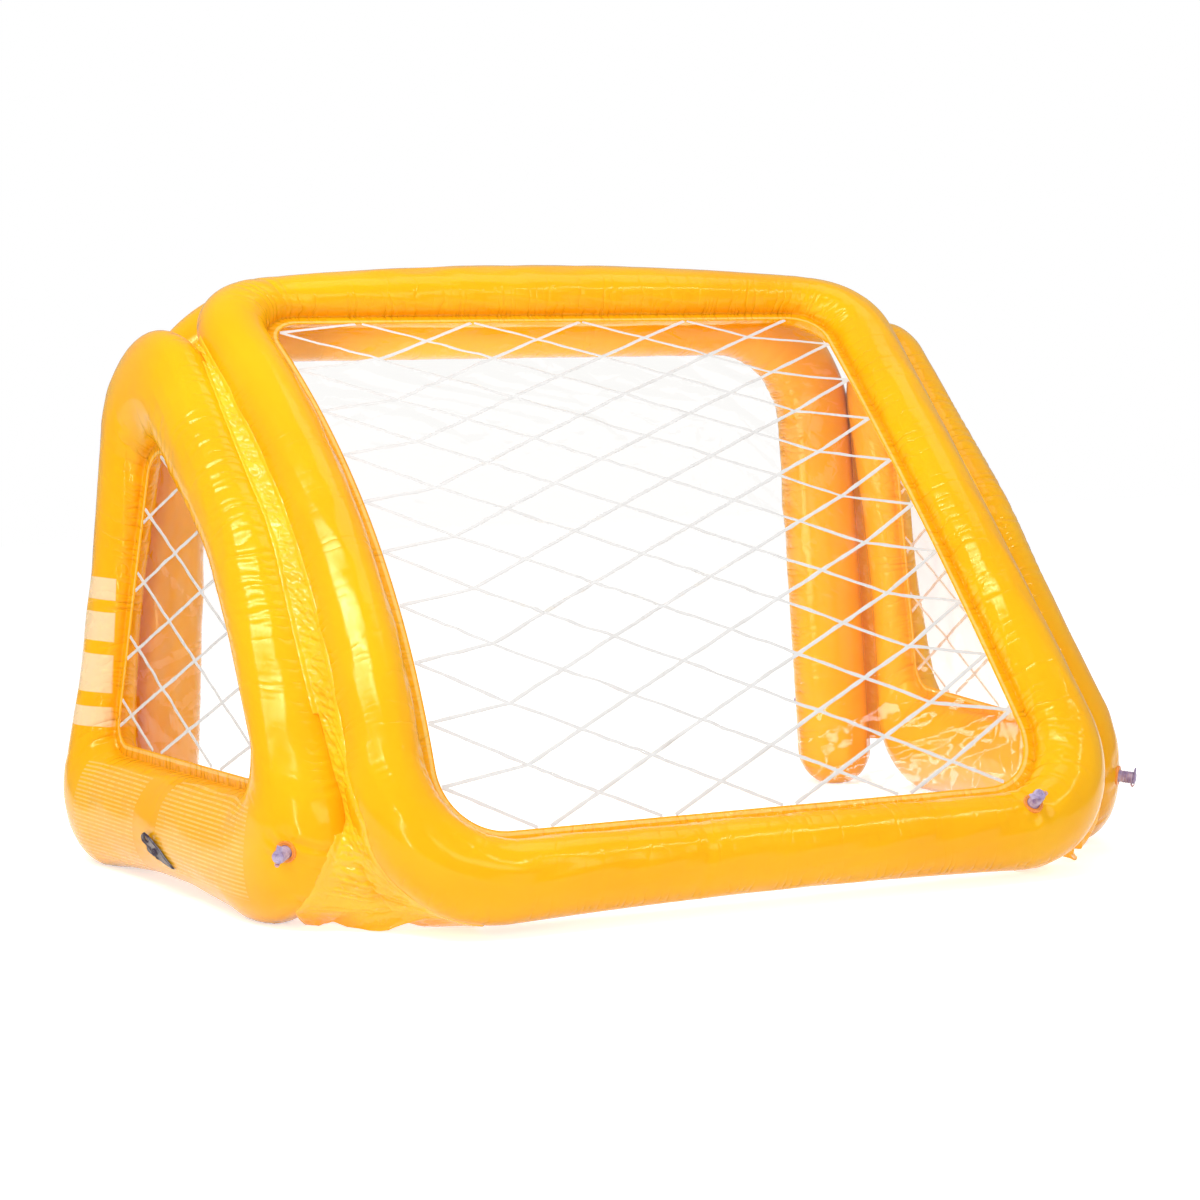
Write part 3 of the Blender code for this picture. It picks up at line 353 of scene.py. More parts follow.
def side_ring(side):
    window = [(-0.2235, 0.1583), (0.2523, 0.1583), (0.0189, 0.4042), (-0.1978, 0.5686)]
    outer = [(-0.3099, -0.0035), (0.4564, -0.0035), (0.1157, 0.4647), (-0.3156, 0.8505)]
    steps = ((8, 7, 7, 7), (5, 8, 5, 9))
    window = rounded_outline(window, (0.030, 0.040, 0.35, 0.030), *steps)
    outer = rounded_outline(outer, (0.107, 0.114, 0.45, 0.116), *steps)
    part = np.clip((outer[:, 0] + 0.195) / 0.41, 0, 1)
    outer[:, 1] += 0.016 * np.where(outer[:, 1] < 0.0045, 4 * part * (1 - part), 0)
    return Ring(window, outer, place_side(side), 0.062, lambda up: np.interp(up, (0.08, 0.60), (0.93, 0.72)))


# Finishes


def height_group(name, inputs):
    """A shader node group with one output, Height: the tree, its web, its inputs' sockets and its output's."""
    made = bpy.data.node_groups.new(name, "ShaderNodeTree")
    for title in inputs:
        kind = "NodeSocketVector" if title == "Vector" else "NodeSocketFloat"
        made.interface.new_socket(name=title, in_out="INPUT", socket_type=kind)
    made.interface.new_socket(name="Height", in_out="OUTPUT", socket_type="NodeSocketFloat")
    return made, Web(made), made.nodes.new("NodeGroupInput").outputs, made.nodes.new("NodeGroupOutput").inputs[0]


class Web:
    """Short ways to add linked nodes to one tree."""

    def __init__(self, tree):
        self.tree = tree

    def node(self, kind, settings=None, **links):
        made = self.tree.nodes.new("ShaderNode" + kind)
        for key, value in (settings or {}).items():
            setattr(made, key, value)
        return self.fill(made, **links)

    def fill(self, made, **values):
        """The node with its inputs of these names linked or set."""
        for key, value in values.items():
            self.put(made.inputs[key.replace("_", " ")], value)
        return made

    def put(self, socket, value):
        if isinstance(value, bpy.types.NodeSocket):
            self.tree.links.new(value, socket)
        else:
            socket.default_value = value

    def feed(self, made, *values):
        """The node's first output, its first inputs being linked or set."""
        for socket, value in zip(made.inputs, values):
            self.put(socket, value)
        return made.outputs[0]

    def math(self, operation, *values, clamp=False):
        return self.feed(self.node("Math", {"operation": operation, "use_clamp": clamp}), *values)

    def noise(self, vector, scale, detail=3.0, roughness=0.5, distortion=0.0):
        made = self.node("TexNoise", Vector=vector, Scale=scale, Detail=detail, Roughness=roughness)
        made.inputs["Distortion"].default_value = distortion
        return made.outputs["Fac"]

    def ramp(self, value, low, high, to_low=0.0, to_high=1.0):
        made = self.node("MapRange", {"interpolation_type": "SMOOTHSTEP"})
        return self.feed(made, value, low, high, to_low, to_high)

    def mix(self, factor, a, b):
        made = self.node("Mix", {"data_type": "RGBA"})
        for socket, value in zip((made.inputs[0], made.inputs[6], made.inputs[7]), (factor, a, b)):
            self.put(socket, value)
        return made.outputs[2]


def crinkle_group():
    """Height of thin sheet: sharp valleys between soft facets, from the edges of two sizes of Voronoi cells."""
    made, web, ins, height = height_group("crinkle", ("Vector", "Scale", "Sharp"))
    warp = web.node("TexNoise", Vector=ins["Vector"], Detail=2.0, Scale=web.math("MULTIPLY", ins["Scale"], 0.6))
    moved = web.node("VectorMath", {"operation": "MULTIPLY_ADD"})
    moved = web.feed(moved, warp.outputs["Color"], (0.03, 0.03, 0.03), ins["Vector"])
    total = None
    for share, rate in ((0.65, 1.0), (0.35, 2.7)):
        scale = web.math("MULTIPLY", ins["Scale"], rate)
        cell = web.node("TexVoronoi", {"feature": "DISTANCE_TO_EDGE"}, Vector=moved, Scale=scale)
        edge = web.math("POWER", cell.outputs["Distance"], ins["Sharp"])
        piece = web.math("MULTIPLY", edge, share)
        total = piece if total is None else web.math("ADD", total, piece)
    web.put(height, total)
    return made


def pucker_group():
    """Height of the puckers along a weld: |sin| of the length along it, fading on both sides of it by
    exp(-distance)."""
    made, web, ins, height = height_group("puckers", ("Along", "Away", "Spacing", "Reach", "Seed"))

    def noise_over(scale, detail, *places):
        return web.noise(web.feed(web.node("CombineXYZ"), *places), scale, detail)

    slow = noise_over(22.0, 1.0, ins["Along"], ins["Seed"])
    quick = noise_over(90.0, 2.0, ins["Along"], ins["Seed"])
    sway = noise_over(30.0, 1.0, ins["Along"], ins["Away"], ins["Seed"])
    phase = web.math("DIVIDE", ins["Along"], ins["Spacing"])
    phase = web.math("MULTIPLY_ADD", slow, 5.0, phase)
    phase = web.math("MULTIPLY_ADD", sway, 1.5, phase)
    wave = web.math("ABSOLUTE", web.math("SINE", web.math("MULTIPLY", phase, math.pi)))
    wave = web.math("POWER", wave, 0.5)
    reach = web.math("MULTIPLY", ins["Reach"], web.ramp(quick, 0.3, 0.7, 0.25, 1.6))
    gap = web.math("ABSOLUTE", ins["Away"])
    fade = web.math("EXPONENT", web.math("MULTIPLY", web.math("DIVIDE", gap, reach), -1.0))
    web.put(height, web.math("MULTIPLY", web.math("SUBTRACT", wave, 1.0), fade))
    return made


def surface_material(name, colour, roughness):
    """A material with its Principled shader, a web over its tree and the object's own coordinates."""
    made = bpy.data.materials.new(name + "_finish")
    made.use_nodes = True
    web, shader = Web(made.node_tree), made.node_tree.nodes["Principled BSDF"]
    web.fill(shader, Base_Color=(*colour, 1.0), Roughness=roughness)
    return made, shader, web, web.node("TexCoord").outputs["Object"]


def placed(web, which, **inputs):
    """The height that a shared group gives."""
    return web.fill(web.node("Group", {"node_tree": which}), **inputs).outputs[0]


def bump(web, height, distance):
    return web.node("Bump", Height=height, Distance=distance).outputs[0]


def uv_parts(web, layer):
    """Both coordinates of a UV map."""
    split = web.node("SeparateXYZ")
    web.put(split.inputs[0], web.node("UVMap", {"uv_map": layer}).outputs[0])
    return split.outputs[0], split.outputs[1]


VINYL = (1.0, 0.50, 0.006)
DEEP = (1.0, 0.36, 0.003)


def vinyl_finish(name, printed=False):
    """Glossy yellow-orange sheet. The maps give the length along a ring and the distances to both welds; puckers
    run off the welds, slow waves break the gloss, and prints lie in the ring's own plane."""
    made, shader, web, at = surface_material(name, VINYL, 0.16)
    along = uv_parts(web, "ring")[0]
    inner, outer = uv_parts(web, "welds")
    small, long, rim = (
        placed(web, puckers, Along=along, Away=away, Spacing=spacing, Reach=reach, Seed=seed)
        for away, spacing, reach, seed in (
            (inner, 0.011, 0.012, 0.13), (inner, 0.031, 0.026, 0.71), (outer, 0.014, 0.010, 0.37)
        )
    )
    height = web.math("MULTIPLY_ADD", long, 1.6, small)
    height = web.math("ADD", height, rim)
    height = web.math("MULTIPLY_ADD", web.noise(at, 9.0, 2.0, 0.5, 0.4), 2.2, height)
    margin = web.ramp(inner, -0.0015, 0.0005, 1.0, 0.0)
    foil = placed(web, crinkle, Vector=at, Scale=42.0, Sharp=0.6)
    height = web.math("MULTIPLY_ADD", web.math("MULTIPLY", foil, margin), 1.2, height)
    shade = web.ramp(web.noise(at, 5.0, 3.0), 0.3, 0.7, 0.0, 0.35)
    # Painted shade: up to 45% deeper orange within 20 mm of the inner weld, in the crease where the tube meets the
    # window's margin. The noise above is a random deeper tone of the sheet.
    shade = web.math("ADD", shade, web.ramp(inner, 0.0, 0.02, 0.45, 0.0), clamp=True)
    # Painted highlight: a paler yellow line on the weld margin, 2 to 6 mm from the window's edge.
    line = web.math("MULTIPLY", web.ramp(inner, -0.0145, -0.013), web.ramp(inner, -0.0105, -0.009, 1.0, 0.0))
    colour = web.mix(shade, (*VINYL, 1), (*DEEP, 1))
    colour = web.mix(web.math("MULTIPLY", line, 0.5), colour, (1.0, 0.80, 0.30, 1))
    rough = web.ramp(web.noise(at, 60.0, 4.0), 0.3, 0.7, 0.10, 0.18)
    if printed:
        colour, rough = add_prints(web, at, colour, rough)
    web.fill(shader, Base_Color=colour, Roughness=rough, Normal=bump(web, height, 0.0011))
    web.fill(shader, Specular_IOR_Level=0.42, Specular_Tint=(1.0, 0.82, 0.42, 1.0))
    web.fill(shader, Subsurface_Weight=0.12, Subsurface_Radius=(0.03, 0.012, 0.002), Subsurface_Scale=1.0)
    return made


def window_of(web, value, low, high, soft=0.0006):
    """1 where the value lies between low and high."""
    rise = web.ramp(value, low - soft, low + soft)
    return web.math("MULTIPLY", rise, web.ramp(value, high - soft, high + soft, 1.0, 0.0))


def add_prints(web, at, colour, rough):
    """Four pale bands on the upright and two patches of ruled lines on the pontoon, in plane coordinates."""
    u, w = uv_parts(web, "plane")
    outside = web.ramp(uv_parts(web, "face")[0], -0.02, 0.02)
    wobble = web.math("MULTIPLY_ADD", web.noise(at, 14.0, 1.0), 0.006, w)
    wobble = web.math("SUBTRACT", wobble, 0.003)
    bands = None
    for low, high in ((0.345, 0.373), (0.289, 0.328), (0.221, 0.272), (0.176, 0.202)):
        band = window_of(web, wobble, low, high)
        bands = band if bands is None else web.math("ADD", bands, band)
    bands = web.math("MULTIPLY", bands, web.ramp(u, -0.2336, -0.2326, 1.0, 0.0))
    bands = web.math("MULTIPLY", bands, outside)
    colour = web.mix(web.math("MULTIPLY", bands, 0.92), colour, (1.0, 0.72, 0.42, 1))
    patch = web.math("MULTIPLY", window_of(web, u, -0.225, -0.045), window_of(web, w, 0.012, 0.132))
    other = web.math("MULTIPLY", window_of(web, u, 0.022, 0.265), window_of(web, w, 0.028, 0.140))
    patch = web.math("MAXIMUM", patch, other)
    rule = web.ramp(web.math("SINE", web.math("MULTIPLY", w, 2 * math.pi / 0.0052)), -0.1, 0.5)
    lines = web.math("MULTIPLY", web.math("MULTIPLY", patch, rule), outside)
    colour = web.mix(web.math("MULTIPLY", lines, 0.55), colour, (1.0, 0.66, 0.22, 1))
    printed = web.math("ADD", bands, lines, clamp=True)
    return colour, web.math("MULTIPLY_ADD", printed, 0.14, rough)


def film_finish():
    """Clear film: hardly bending light, with a coat whose bumps make its glints, and clear to shadow and diffuse
    rays."""
    made, shader, web, at = surface_material("clear_film", (1.0, 0.99, 0.97), 0.03)
    foil = placed(web, crinkle, Vector=at, Scale=11.0, Sharp=0.5)
    height = web.math("MULTIPLY_ADD", web.noise(at, 5.0, 3.0, 0.6, 1.2), 2.0, foil)
    web.fill(shader, Normal=bump(web, height, 0.0003), Coat_Normal=bump(web, height, 0.0012))
    web.fill(shader, Transmission_Weight=1.0, IOR=1.06, Coat_Weight=0.45, Coat_Roughness=0.03)
    rays = web.node("LightPath").outputs
    clear = web.node("BsdfTransparent", Color=(1.0, 0.99, 0.975, 1.0)).outputs[0]
    through = web.math("MAXIMUM", rays["Is Shadow Ray"], rays["Is Diffuse Ray"])
    surface = web.feed(web.node("MixShader"), through, shader.outputs[0], clear)
    web.put(made.node_tree.nodes["Material Output"].inputs["Surface"], surface)
    return made


def print_finish():
    """White print, a little thin in places."""
    made, shader, web, at = surface_material("white_print", (0.93, 0.91, 0.88), 0.35)
    thin = web.ramp(web.noise(at, 160.0, 3.0), 0.35, 0.7, 0.0, 0.4)
    web.fill(shader, Base_Color=web.mix(thin, (0.73, 0.72, 0.71, 1), (0.68, 0.65, 0.62, 1)),
             Roughness=web.ramp(web.noise(at, 45.0, 2.0), 0.3, 0.7, 0.25, 0.45),
             Normal=bump(web, web.noise(at, 260.0, 3.0), 0.0003))
    return made


def seam_finish():
    """Thin folded sheet: the vinyl's yellow with facets, and a faint orange glow that is painted light,
    standing in for light that shines through the sheet and lifting it where it lies in shade.
    """
    made, shader, web, at = surface_material("seam_sheet", VINYL, 0.12)
    foil = placed(web, crinkle, Vector=at, Scale=34.0, Sharp=0.7)
    shade = web.ramp(web.noise(at, 12.0, 3.0), 0.3, 0.7, 0.0, 0.5)
    # The emission is painted light: a faint orange glow that brightens the sheet in the shade of the valleys.
    web.fill(shader, Base_Color=web.mix(shade, (1.0, 0.55, 0.015, 1), (*DEEP, 1)),
             Roughness=web.ramp(web.noise(at, 70.0, 3.0), 0.3, 0.7, 0.07, 0.14), Normal=bump(web, foil, 0.0025),
             Emission_Color=(1.0, 0.42, 0.02, 1.0), Emission_Strength=0.2)
    return made


def soft_plastic_finish(name, colour, deep, roughness, clear=0.0):
    """Moulded plastic between two colours, with a fine grain."""
    made, shader, web, at = surface_material(name, colour, roughness)
    tint = web.ramp(web.noise(at, 90.0, 3.0), 0.3, 0.7, 0.0, 1.0)
    web.fill(shader, Base_Color=web.mix(tint, (*colour, 1), (*deep, 1)),
             Roughness=web.ramp(web.noise(at, 400.0, 3.0), 0.3, 0.7, roughness * 0.7, roughness * 1.3),
             Normal=bump(web, web.noise(at, 700.0, 2.0), 0.00012), Transmission_Weight=clear)
    return made


crinkle = crinkle_group()
puckers = pucker_group()
finish = {
    "orange_vinyl": vinyl_finish("orange_vinyl"),
    "printed_vinyl": vinyl_finish("printed_vinyl", printed=True),
    "clear_film": film_finish(),
    "white_print": print_finish(),
    "seam_sheet": seam_finish(),
    "valve_base": soft_plastic_finish("valve_base", (1.0, 0.36, 0.04), (0.92, 0.27, 0.03), 0.25),
    "valve_lilac": soft_plastic_finish("valve_lilac", (0.74, 0.62, 0.84), (0.30, 0.20, 0.46), 0.18, 0.25),
    "valve_strap": soft_plastic_finish("valve_strap", (0.86, 0.50, 0.52), (0.70, 0.36, 0.46), 0.3, 0.2),
    "dark_tab": soft_plastic_finish("dark_tab", (0.03, 0.02, 0.035), (0.05, 0.03, 0.06), 0.25),
}


# Rings and mouth tube

LIP = 0.0006  # half the thickness of a weld margin
ROUND = 60  # points round a ring's tube
RIM = 6  # points across a weld margin
TUBE = 0.0545  # radius of the mouth tube
MOUTH_VALVE_AT = np.array([-0.5214, -0.4209, 0.1187])
MOUTH_VALVE_AXIS = np.array([0.2232, -0.9741, -0.0361])


def pucker_field(along, girth, whole, strength):
    """Puckers off the inner weld: -depth (1 - |sin|^0.6) exp(-(distance / reach)^1.4), where strength says how
    much of the full depth each station has, plus slow waves of the sheet."""
    away = np.minimum(girth, whole - girth)
    other = (girth > whole / 2) * 1.7
    phase = along / 0.021 + 1.3 * ripple(along * 9, 3) + other + 0.5 * ripple(away * 25 + along * 4, 8)
    reach = 0.020 + 0.016 * (0.5 + 0.5 * ripple(along * 31 + other, 5)) + 0.022 * strength
    reach = reach + 0.10 * np.maximum(strength - 0.8, 0)
    held = smooth(away, 0.0, 0.010)
    deep = (0.0004 + 0.0024 * strength) * (0.55 + 0.45 * ripple(along * 47 + other, 6))
    waves = 0.0009 * ripple(along * 13 + 2 * ripple(girth * 9, 12), 9) * ripple(girth * 30, 10, 3)
    return -deep * valley(phase, 0.6) * np.exp(-((away / reach) ** 1.4)) * held + waves * held


def crease_field(along, girth, creases):
    """Single creases: -depth exp(-(offset / width)^2) exp(-((girth - middle) / spread)^2), with a raised lip on
    both sides; offset is measured along the ring and leans with the girth."""
    total = 0.0
    for place, middle, depth, width, spread, lean in creases:
        offset = along - place - lean * (girth - middle)
        keen = bell(offset, 0, width) - 0.45 * bell(offset, 0, 2.4 * width)
        total = total - depth * keen * bell(girth, middle, spread)
    return total


def washboard(along, girth, low, high, middle, slope, spread, spacing, depth, seed):
    """Rows of folds across a leg from low to high: -depth (1 - |sin|^0.8) under a bell in the girth."""
    held = smooth(along, low, low + 0.03) * (1 - smooth(along, high - 0.03, high))
    held = held * bell(girth, middle + slope * (along - (low + high) / 2), spread)
    phase = along / spacing + 0.4 * ripple(along * 60, seed) + 0.35 * ripple(girth * 22 + along * 12, seed + 1)
    return -depth * held * valley(phase, 0.8) * (0.75 + 0.35 * ripple(along * 80, seed + 2))


def valve_pinch(points, matrix):
    """Wrinkles round a valve: 1.2 mm cos(6t), less 0.8 mm, on a ring of 21 mm radius in the valve's frame."""
    local = (points - matrix[:3, 3]) @ matrix[:3, :3]
    reach, turn = np.hypot(local[..., 0], local[..., 1]), np.arctan2(local[..., 1], local[..., 0])
    held = bell(reach, 0.021, 0.007) * smooth(reach, 0.0135, 0.0165) * (np.abs(local[..., 2]) < 0.03)
    return 0.0012 * held * np.cos(6 * turn + 90 * reach) - 0.0008 * held


def valve_well(points, point, axis):
    """Room for a plug that is pushed in: the skin goes in 4.5 mm within 5 mm of the valve's axis."""
    away = points - point
    depth = away @ axis
    reach = np.linalg.norm(away - depth[..., None] * axis, axis=-1)
    held = (1 - smooth(reach, 0.0052, 0.0086)) * (np.abs(depth) < 0.02)
    return -0.0045 * held[..., None] * axis


def ring_object(name, ring, slot, gather, creases, boards, spot, node):
    """The ring's skin: margin, tube and margin round each station, puckered along the normals. Maps: ring holds
    length and girth, welds the distances to both welds, plane the ring's own plane, face the side it faces."""
    margin = np.linspace(0.0, 0.0145, RIM)
    angles = np.linspace(math.pi, -math.pi, ROUND)
    across, tube = ring.across[:, None, :], np.s_[:, RIM:-RIM]
    skin = ring.middle[:, None, :] + (ring.half[:, None] * np.cos(angles))[..., None] * across
    edge = ring.window[:, None, :] + margin[None, :, None] * across
    front = np.where(np.arange(ROUND) < ROUND / 2, 1.0, -1.0)
    rise = front * np.maximum(np.abs(ring.thick[:, None] * np.sin(angles)), LIP)
    curl = 0.0003 * ripple(np.arange(ring.count)[:, None] * 0.09 + margin * 90, 21) * smooth(margin, 0.0, 0.006)
    flat = np.concatenate([edge, skin, edge[:, ::-1]], axis=1)
    points = ring.place(flat, np.concatenate([LIP + curl, rise, -LIP + curl[:, ::-1]], axis=1))
    root = ring.place(ring.window + WELD * ring.across, 0.0)
    lengths = travelled(np.concatenate([root, root[:1]]))
    along = lengths[:-1]
    parts = np.linalg.norm(np.diff(points[tube], axis=1), axis=2)
    girth = np.concatenate([np.zeros((ring.count, 1)), np.cumsum(parts, axis=1)], axis=1)
    whole = girth[:, -1:]
    bumps = pucker_field(along, girth, whole, gather(ring)) + crease_field(along, girth, creases)
    for board in boards:
        bumps = bumps + washboard(along, girth, *board)
    valve_at = ring.frame_at(*spot)
    bumps = bumps + valve_pinch(points[tube], valve_at)
    out = normals_of(points, True)[tube]
    facing = ((out * (points[tube] - points[tube].mean(1, keepdims=True))).sum(-1).mean() > 0) * 2 - 1
    out = facing * out
    points[tube] += out * bumps[..., None] + leaned(out, ring.pull[:, None])
    points[tube] += valve_well(points[tube], valve_at[:3, 3], valve_at[:3, 2])
    points[..., 2] = np.maximum(points[..., 2], 0.0)
    skirt = np.broadcast_to(margin - WELD, (ring.count, RIM))
    girth = np.concatenate([skirt, girth, whole - skirt[:, ::-1]], axis=1)

    def closed(first, second):
        both = np.stack(np.broadcast_arrays(first, second), axis=-1)
        both = np.concatenate([both, both[:1]], axis=0)
        return np.concatenate([both, both[:, -1:]], axis=1)

    def padded(values, ends):
        return np.broadcast_to(np.concatenate([np.full(RIM, ends), values, np.full(RIM, -ends)]), girth.shape)

    ring_map = closed(along, girth)
    ring_map[-1, :, 0] = lengths[-1, 0]
    maps = {
        "ring": ring_map,
        "welds": closed(np.minimum(girth, whole - girth), np.abs(girth - whole / 2)),
        "plane": closed(flat[..., 0], flat[..., 1]),
        "face": closed(padded(np.sin(angles), 1.0), padded(np.cos(angles), 0.0)),
    }
    grid_object(name, points, slot, "goal", node, True, True, maps, flip=facing < 0)


def corner_gather(places):
    """Function for the share of full pucker depth at a ring's stations: a sum of bells, each a station, a width
    and a share."""

    def gather(ring):
        station = np.arange(ring.count)[:, None] / FINE
        total = np.zeros_like(station)
        for place, width, share in places:
            gap = np.abs(station - place)
            total = total + share * bell(np.minimum(gap, ring.count / FINE - gap), 0, width)
        return np.clip(total, 0, 1.2)

    return gather


def mouth_path():
    """Points along the mouth tube, foot to foot: a post, a rounded corner and half the crossbar, mirrored."""
    foot, top = np.array([0.540, -0.3648, -0.004]), np.array([0.502, -0.3824, 0.710])
    up, across = unit(top - foot), np.array([-1.0, 0, 0])
    start, end = top - 0.158 * up, top + 0.158 * across
    dome = TUBE * (1 - np.cos(np.linspace(math.radians(16), math.pi / 2, 22)))
    lengths = np.concatenate([dome, np.linspace(TUBE, np.linalg.norm(start - foot), 120)[1:]])
    straight = foot + lengths[:, None] * up
    part = np.linspace(0, 1, 90)[1:, None]
    bend = 1.34 * 0.158 / 2.41
    hold_a, hold_b, rest = start + up * bend, end - across * bend, 1 - part
    corner = rest**3 * start + 3 * rest**2 * part * hold_a + 3 * rest * part**2 * hold_b + part**3 * end
    bar = end + part * (np.array([0.0, -0.3824, 0.710]) - end)
    half = np.concatenate([straight, corner, bar])
    radii = np.full(len(half), TUBE)
    radii[: len(dome)] = np.sqrt(TUBE**2 - (TUBE - dome) ** 2)
    return np.concatenate([half, half[-2::-1] * (-1, 1, 1)]), np.concatenate([radii, radii[-2::-1]])


def mouth_object():
    """A circle carried along the mouth path, puckered on the inside of its corners, flat where it stands."""
    path, radii = mouth_path()
    tangent = unit(np.gradient(path, axis=0))
    normal = unit(np.array([0.0, -0.9997, -0.0248]))
    inward = unit(np.cross(normal, tangent))
    inward *= np.sign((inward * (np.array([0.0, -0.37, 0.35]) - path)).sum(1))[:, None]
    angles = np.linspace(-math.pi, math.pi, 73)[:-1]
    circle = np.cos(angles)[None, :, None] * inward[:, None, :] + np.sin(angles)[None, :, None] * normal
    along = travelled(path)
    girth = np.broadcast_to(TUBE * (angles + math.pi), (len(path), 72))
    inner = np.broadcast_to(np.abs(angles) * TUBE, girth.shape)
    corner = bell(along, 0.66, 0.09) + bell(along, along[-1] - 0.66, 0.09)
    phase = along / 0.024 + ripple(along * 9, 31)
    bumps = -(0.0002 + 0.0024 * corner) * valley(phase, 0.6) * np.exp(-((inner / 0.05) ** 1.5))
    bumps = bumps + 0.0008 * ripple(along * 14, 33) * ripple(girth * 25 + along * 3, 34)
    near = np.minimum(along, along[-1] - along)
    bumps = bumps + 0.0014 * smooth(near, 0.005, 0.05) * (1 - smooth(near, 0.06, 0.12)) * np.cos(9 * angles)
    points = path[:, None, :] + circle * (radii[:, None] + bumps * smooth(radii, 0.0, 0.05)[:, None])[..., None]
    points = points + valve_well(points, MOUTH_VALVE_AT, MOUTH_VALVE_AXIS)
    ends = path[[0, -1]][:, None, :] * np.ones((1, 72, 1))
    points = np.concatenate([ends[:1], points, ends[1:]])
    points[..., 2] = np.maximum(points[..., 2], 0.0)

    def both(first, second):
        pair = np.stack(np.broadcast_arrays(first, second), axis=-1)
        pair = np.concatenate([pair[:1], pair, pair[-1:]])
        return np.concatenate([pair, pair[:, :1]], axis=1)

    ring_map = both(along, girth)
    ring_map[:, -1, 1] = 2 * math.pi * TUBE
    maps = {"ring": ring_map, "welds": both(inner, math.pi * TUBE - inner)}
    merged(grid_object("mouth_tube", points, "orange_vinyl", "goal", "mouth_frame", False, True, maps))


back = back_ring()
sides = {"right": side_ring(1), "left": side_ring(-1)}
back_gather = corner_gather([(3, 3.2, 0.9), (15, 3.2, 1.0), (30, 3.0, 1.0), (42, 3.0, 1.0), (9, 1.5, 0.25)])
side_gather = corner_gather([(2, 3, 0.9), (17.5, 3.5, 1.0), (27, 6.0, 0.7), (40, 5.5, 1.1), (46, 3.0, 0.9)])
LEGS = {"right": (12, 31), "left": (41, 60)}
SIDE_LEG = (14, 44)
for side_name, ring in sides.items():
    lean_on(back, ring, LEGS[side_name], SIDE_LEG, 0.012)
    lean_on(ring, back, SIDE_LEG, LEGS[side_name])
back_creases = [
    (0.5854, 0.072, 0.0045, 0.006, 0.050, 0.152), (2.531, 0.045, 0.0010, 0.0013, 0.035, 0.0),
    (0.025, 0.040, 0.0022, 0.004, 0.018, 0.3), (0.046, 0.042, 0.0022, 0.004, 0.018, 0.3),
    (0.945, 0.092, 0.0009, 0.0014, 0.008, 0.0), (0.951, 0.092, 0.0009, 0.0014, 0.008, 0.0),
    (0.957, 0.092, 0.0009, 0.0014, 0.008, 0.0), (1.62, 0.050, 0.0010, 0.0013, 0.035, 0.1),
]
side_creases = [
    (0.489, 0.205, 0.0026, 0.0022, 0.030, 0.0), (0.471, 0.240, 0.0022, 0.0020, 0.026, -0.16),
    (0.460, 0.225, 0.0018, 0.002, 0.016, -0.10), (0.518, 0.195, 0.0020, 0.002, 0.022, 0.1),
    (0.790, 0.110, 0.0012, 0.0014, 0.050, 0.15), (0.612, 0.120, 0.0012, 0.0014, 0.050, 0.10),
]
back_boards = [
    (-0.02, 0.130, 0.058, 0.0, 0.026, 0.0110, 0.0015, 31), (1.690, 1.810, 0.045, 0.0, 0.034, 0.0090, 0.0026, 37),
    (2.510, 2.620, 0.026, 0.0, 0.018, 0.0090, 0.0020, 41), (0.800, 0.925, 0.022, 0.0, 0.018, 0.0090, 0.0011, 43),
]
side_boards = [
    (0.655, 0.965, 0.118, 0.0, 0.034, 0.0128, 0.0014, 11), (0.592, 0.632, 0.125, 0.0, 0.034, 0.0065, 0.0006, 17),
    (0.480, 0.580, 0.188, -0.6, 0.016, 0.0125, 0.0011, 23),
]
BACK_VALVE, SIDE_VALVE = (5.5, math.radians(100)), (17.85, math.radians(39))
ring_object("back_tube", back, "orange_vinyl", back_gather, back_creases, back_boards, BACK_VALVE, "back_frame")
for side_name, ring in sides.items():
    slot = "printed_vinyl" if side_name == "right" else "orange_vinyl"
    ring_object("side_tube_" + side_name, ring, slot, side_gather, side_creases, side_boards, SIDE_VALVE,
                "side_frame_" + side_name)
mouth_object()


# Windows and nets

FILM = 0.0003  # thickness of the clear film
LINE_ROWS, LINE_COLUMNS = 11, 4  # points along and across a printed line


def film_wave(flat, seed, reach):
    """Slack of a film: slow waves of up to 1.6 mm that die out within 60 mm of its edge."""
    x, y = flat[..., 0], flat[..., 1]
    wave = ripple(x * 17 + 3 * ripple(y * 5, seed), seed + 1)
    wave = wave + ripple(y * 21 + 2 * ripple(x * 6, seed + 2), seed + 3)
    return 0.0008 * wave * smooth(reach, 0.0, 0.06)


def edge_distance(flat, outline):
    """Distance from each point to the nearest point of an outline."""
    spots = flat.reshape(-1, 1, 2)
    found = [np.linalg.norm(part - outline[None, ::4], axis=2).min(1) for part in np.array_split(spots, 24)]
    return np.concatenate(found).reshape(flat.shape[:-1])


def half_width(outline, levels):
    """Half width of the back's outline at each level."""
    right = outline[outline[:, 0] > 0]
    levels_of = np.round(right[:, 1], 6)
    order = np.lexsort((right[:, 0], levels_of))
    found, last = np.unique(levels_of[order][::-1], return_index=True)
    return np.interp(levels, found, right[order][::-1][last, 0])


def back_film():
    """Film across the back: level rows between both edges, 5 mm under the weld margin."""
    outline = back.window + 0.005 * back.across
    part = (1 - np.cos(np.linspace(0, math.pi, 150))) / 2
    levels = outline[:, 1].min() + part * np.ptp(outline[:, 1])
    share = np.linspace(-1, 1, 130)
    flat = np.stack(np.broadcast_arrays(half_width(outline, levels)[:, None] * share, levels[:, None]), axis=-1)
    wave = film_wave(flat, 41, edge_distance(flat, back.window))
    thicken(merged(grid_object("back_film", place_back(flat, wave), "clear_film", "goal", "back_window")), FILM)


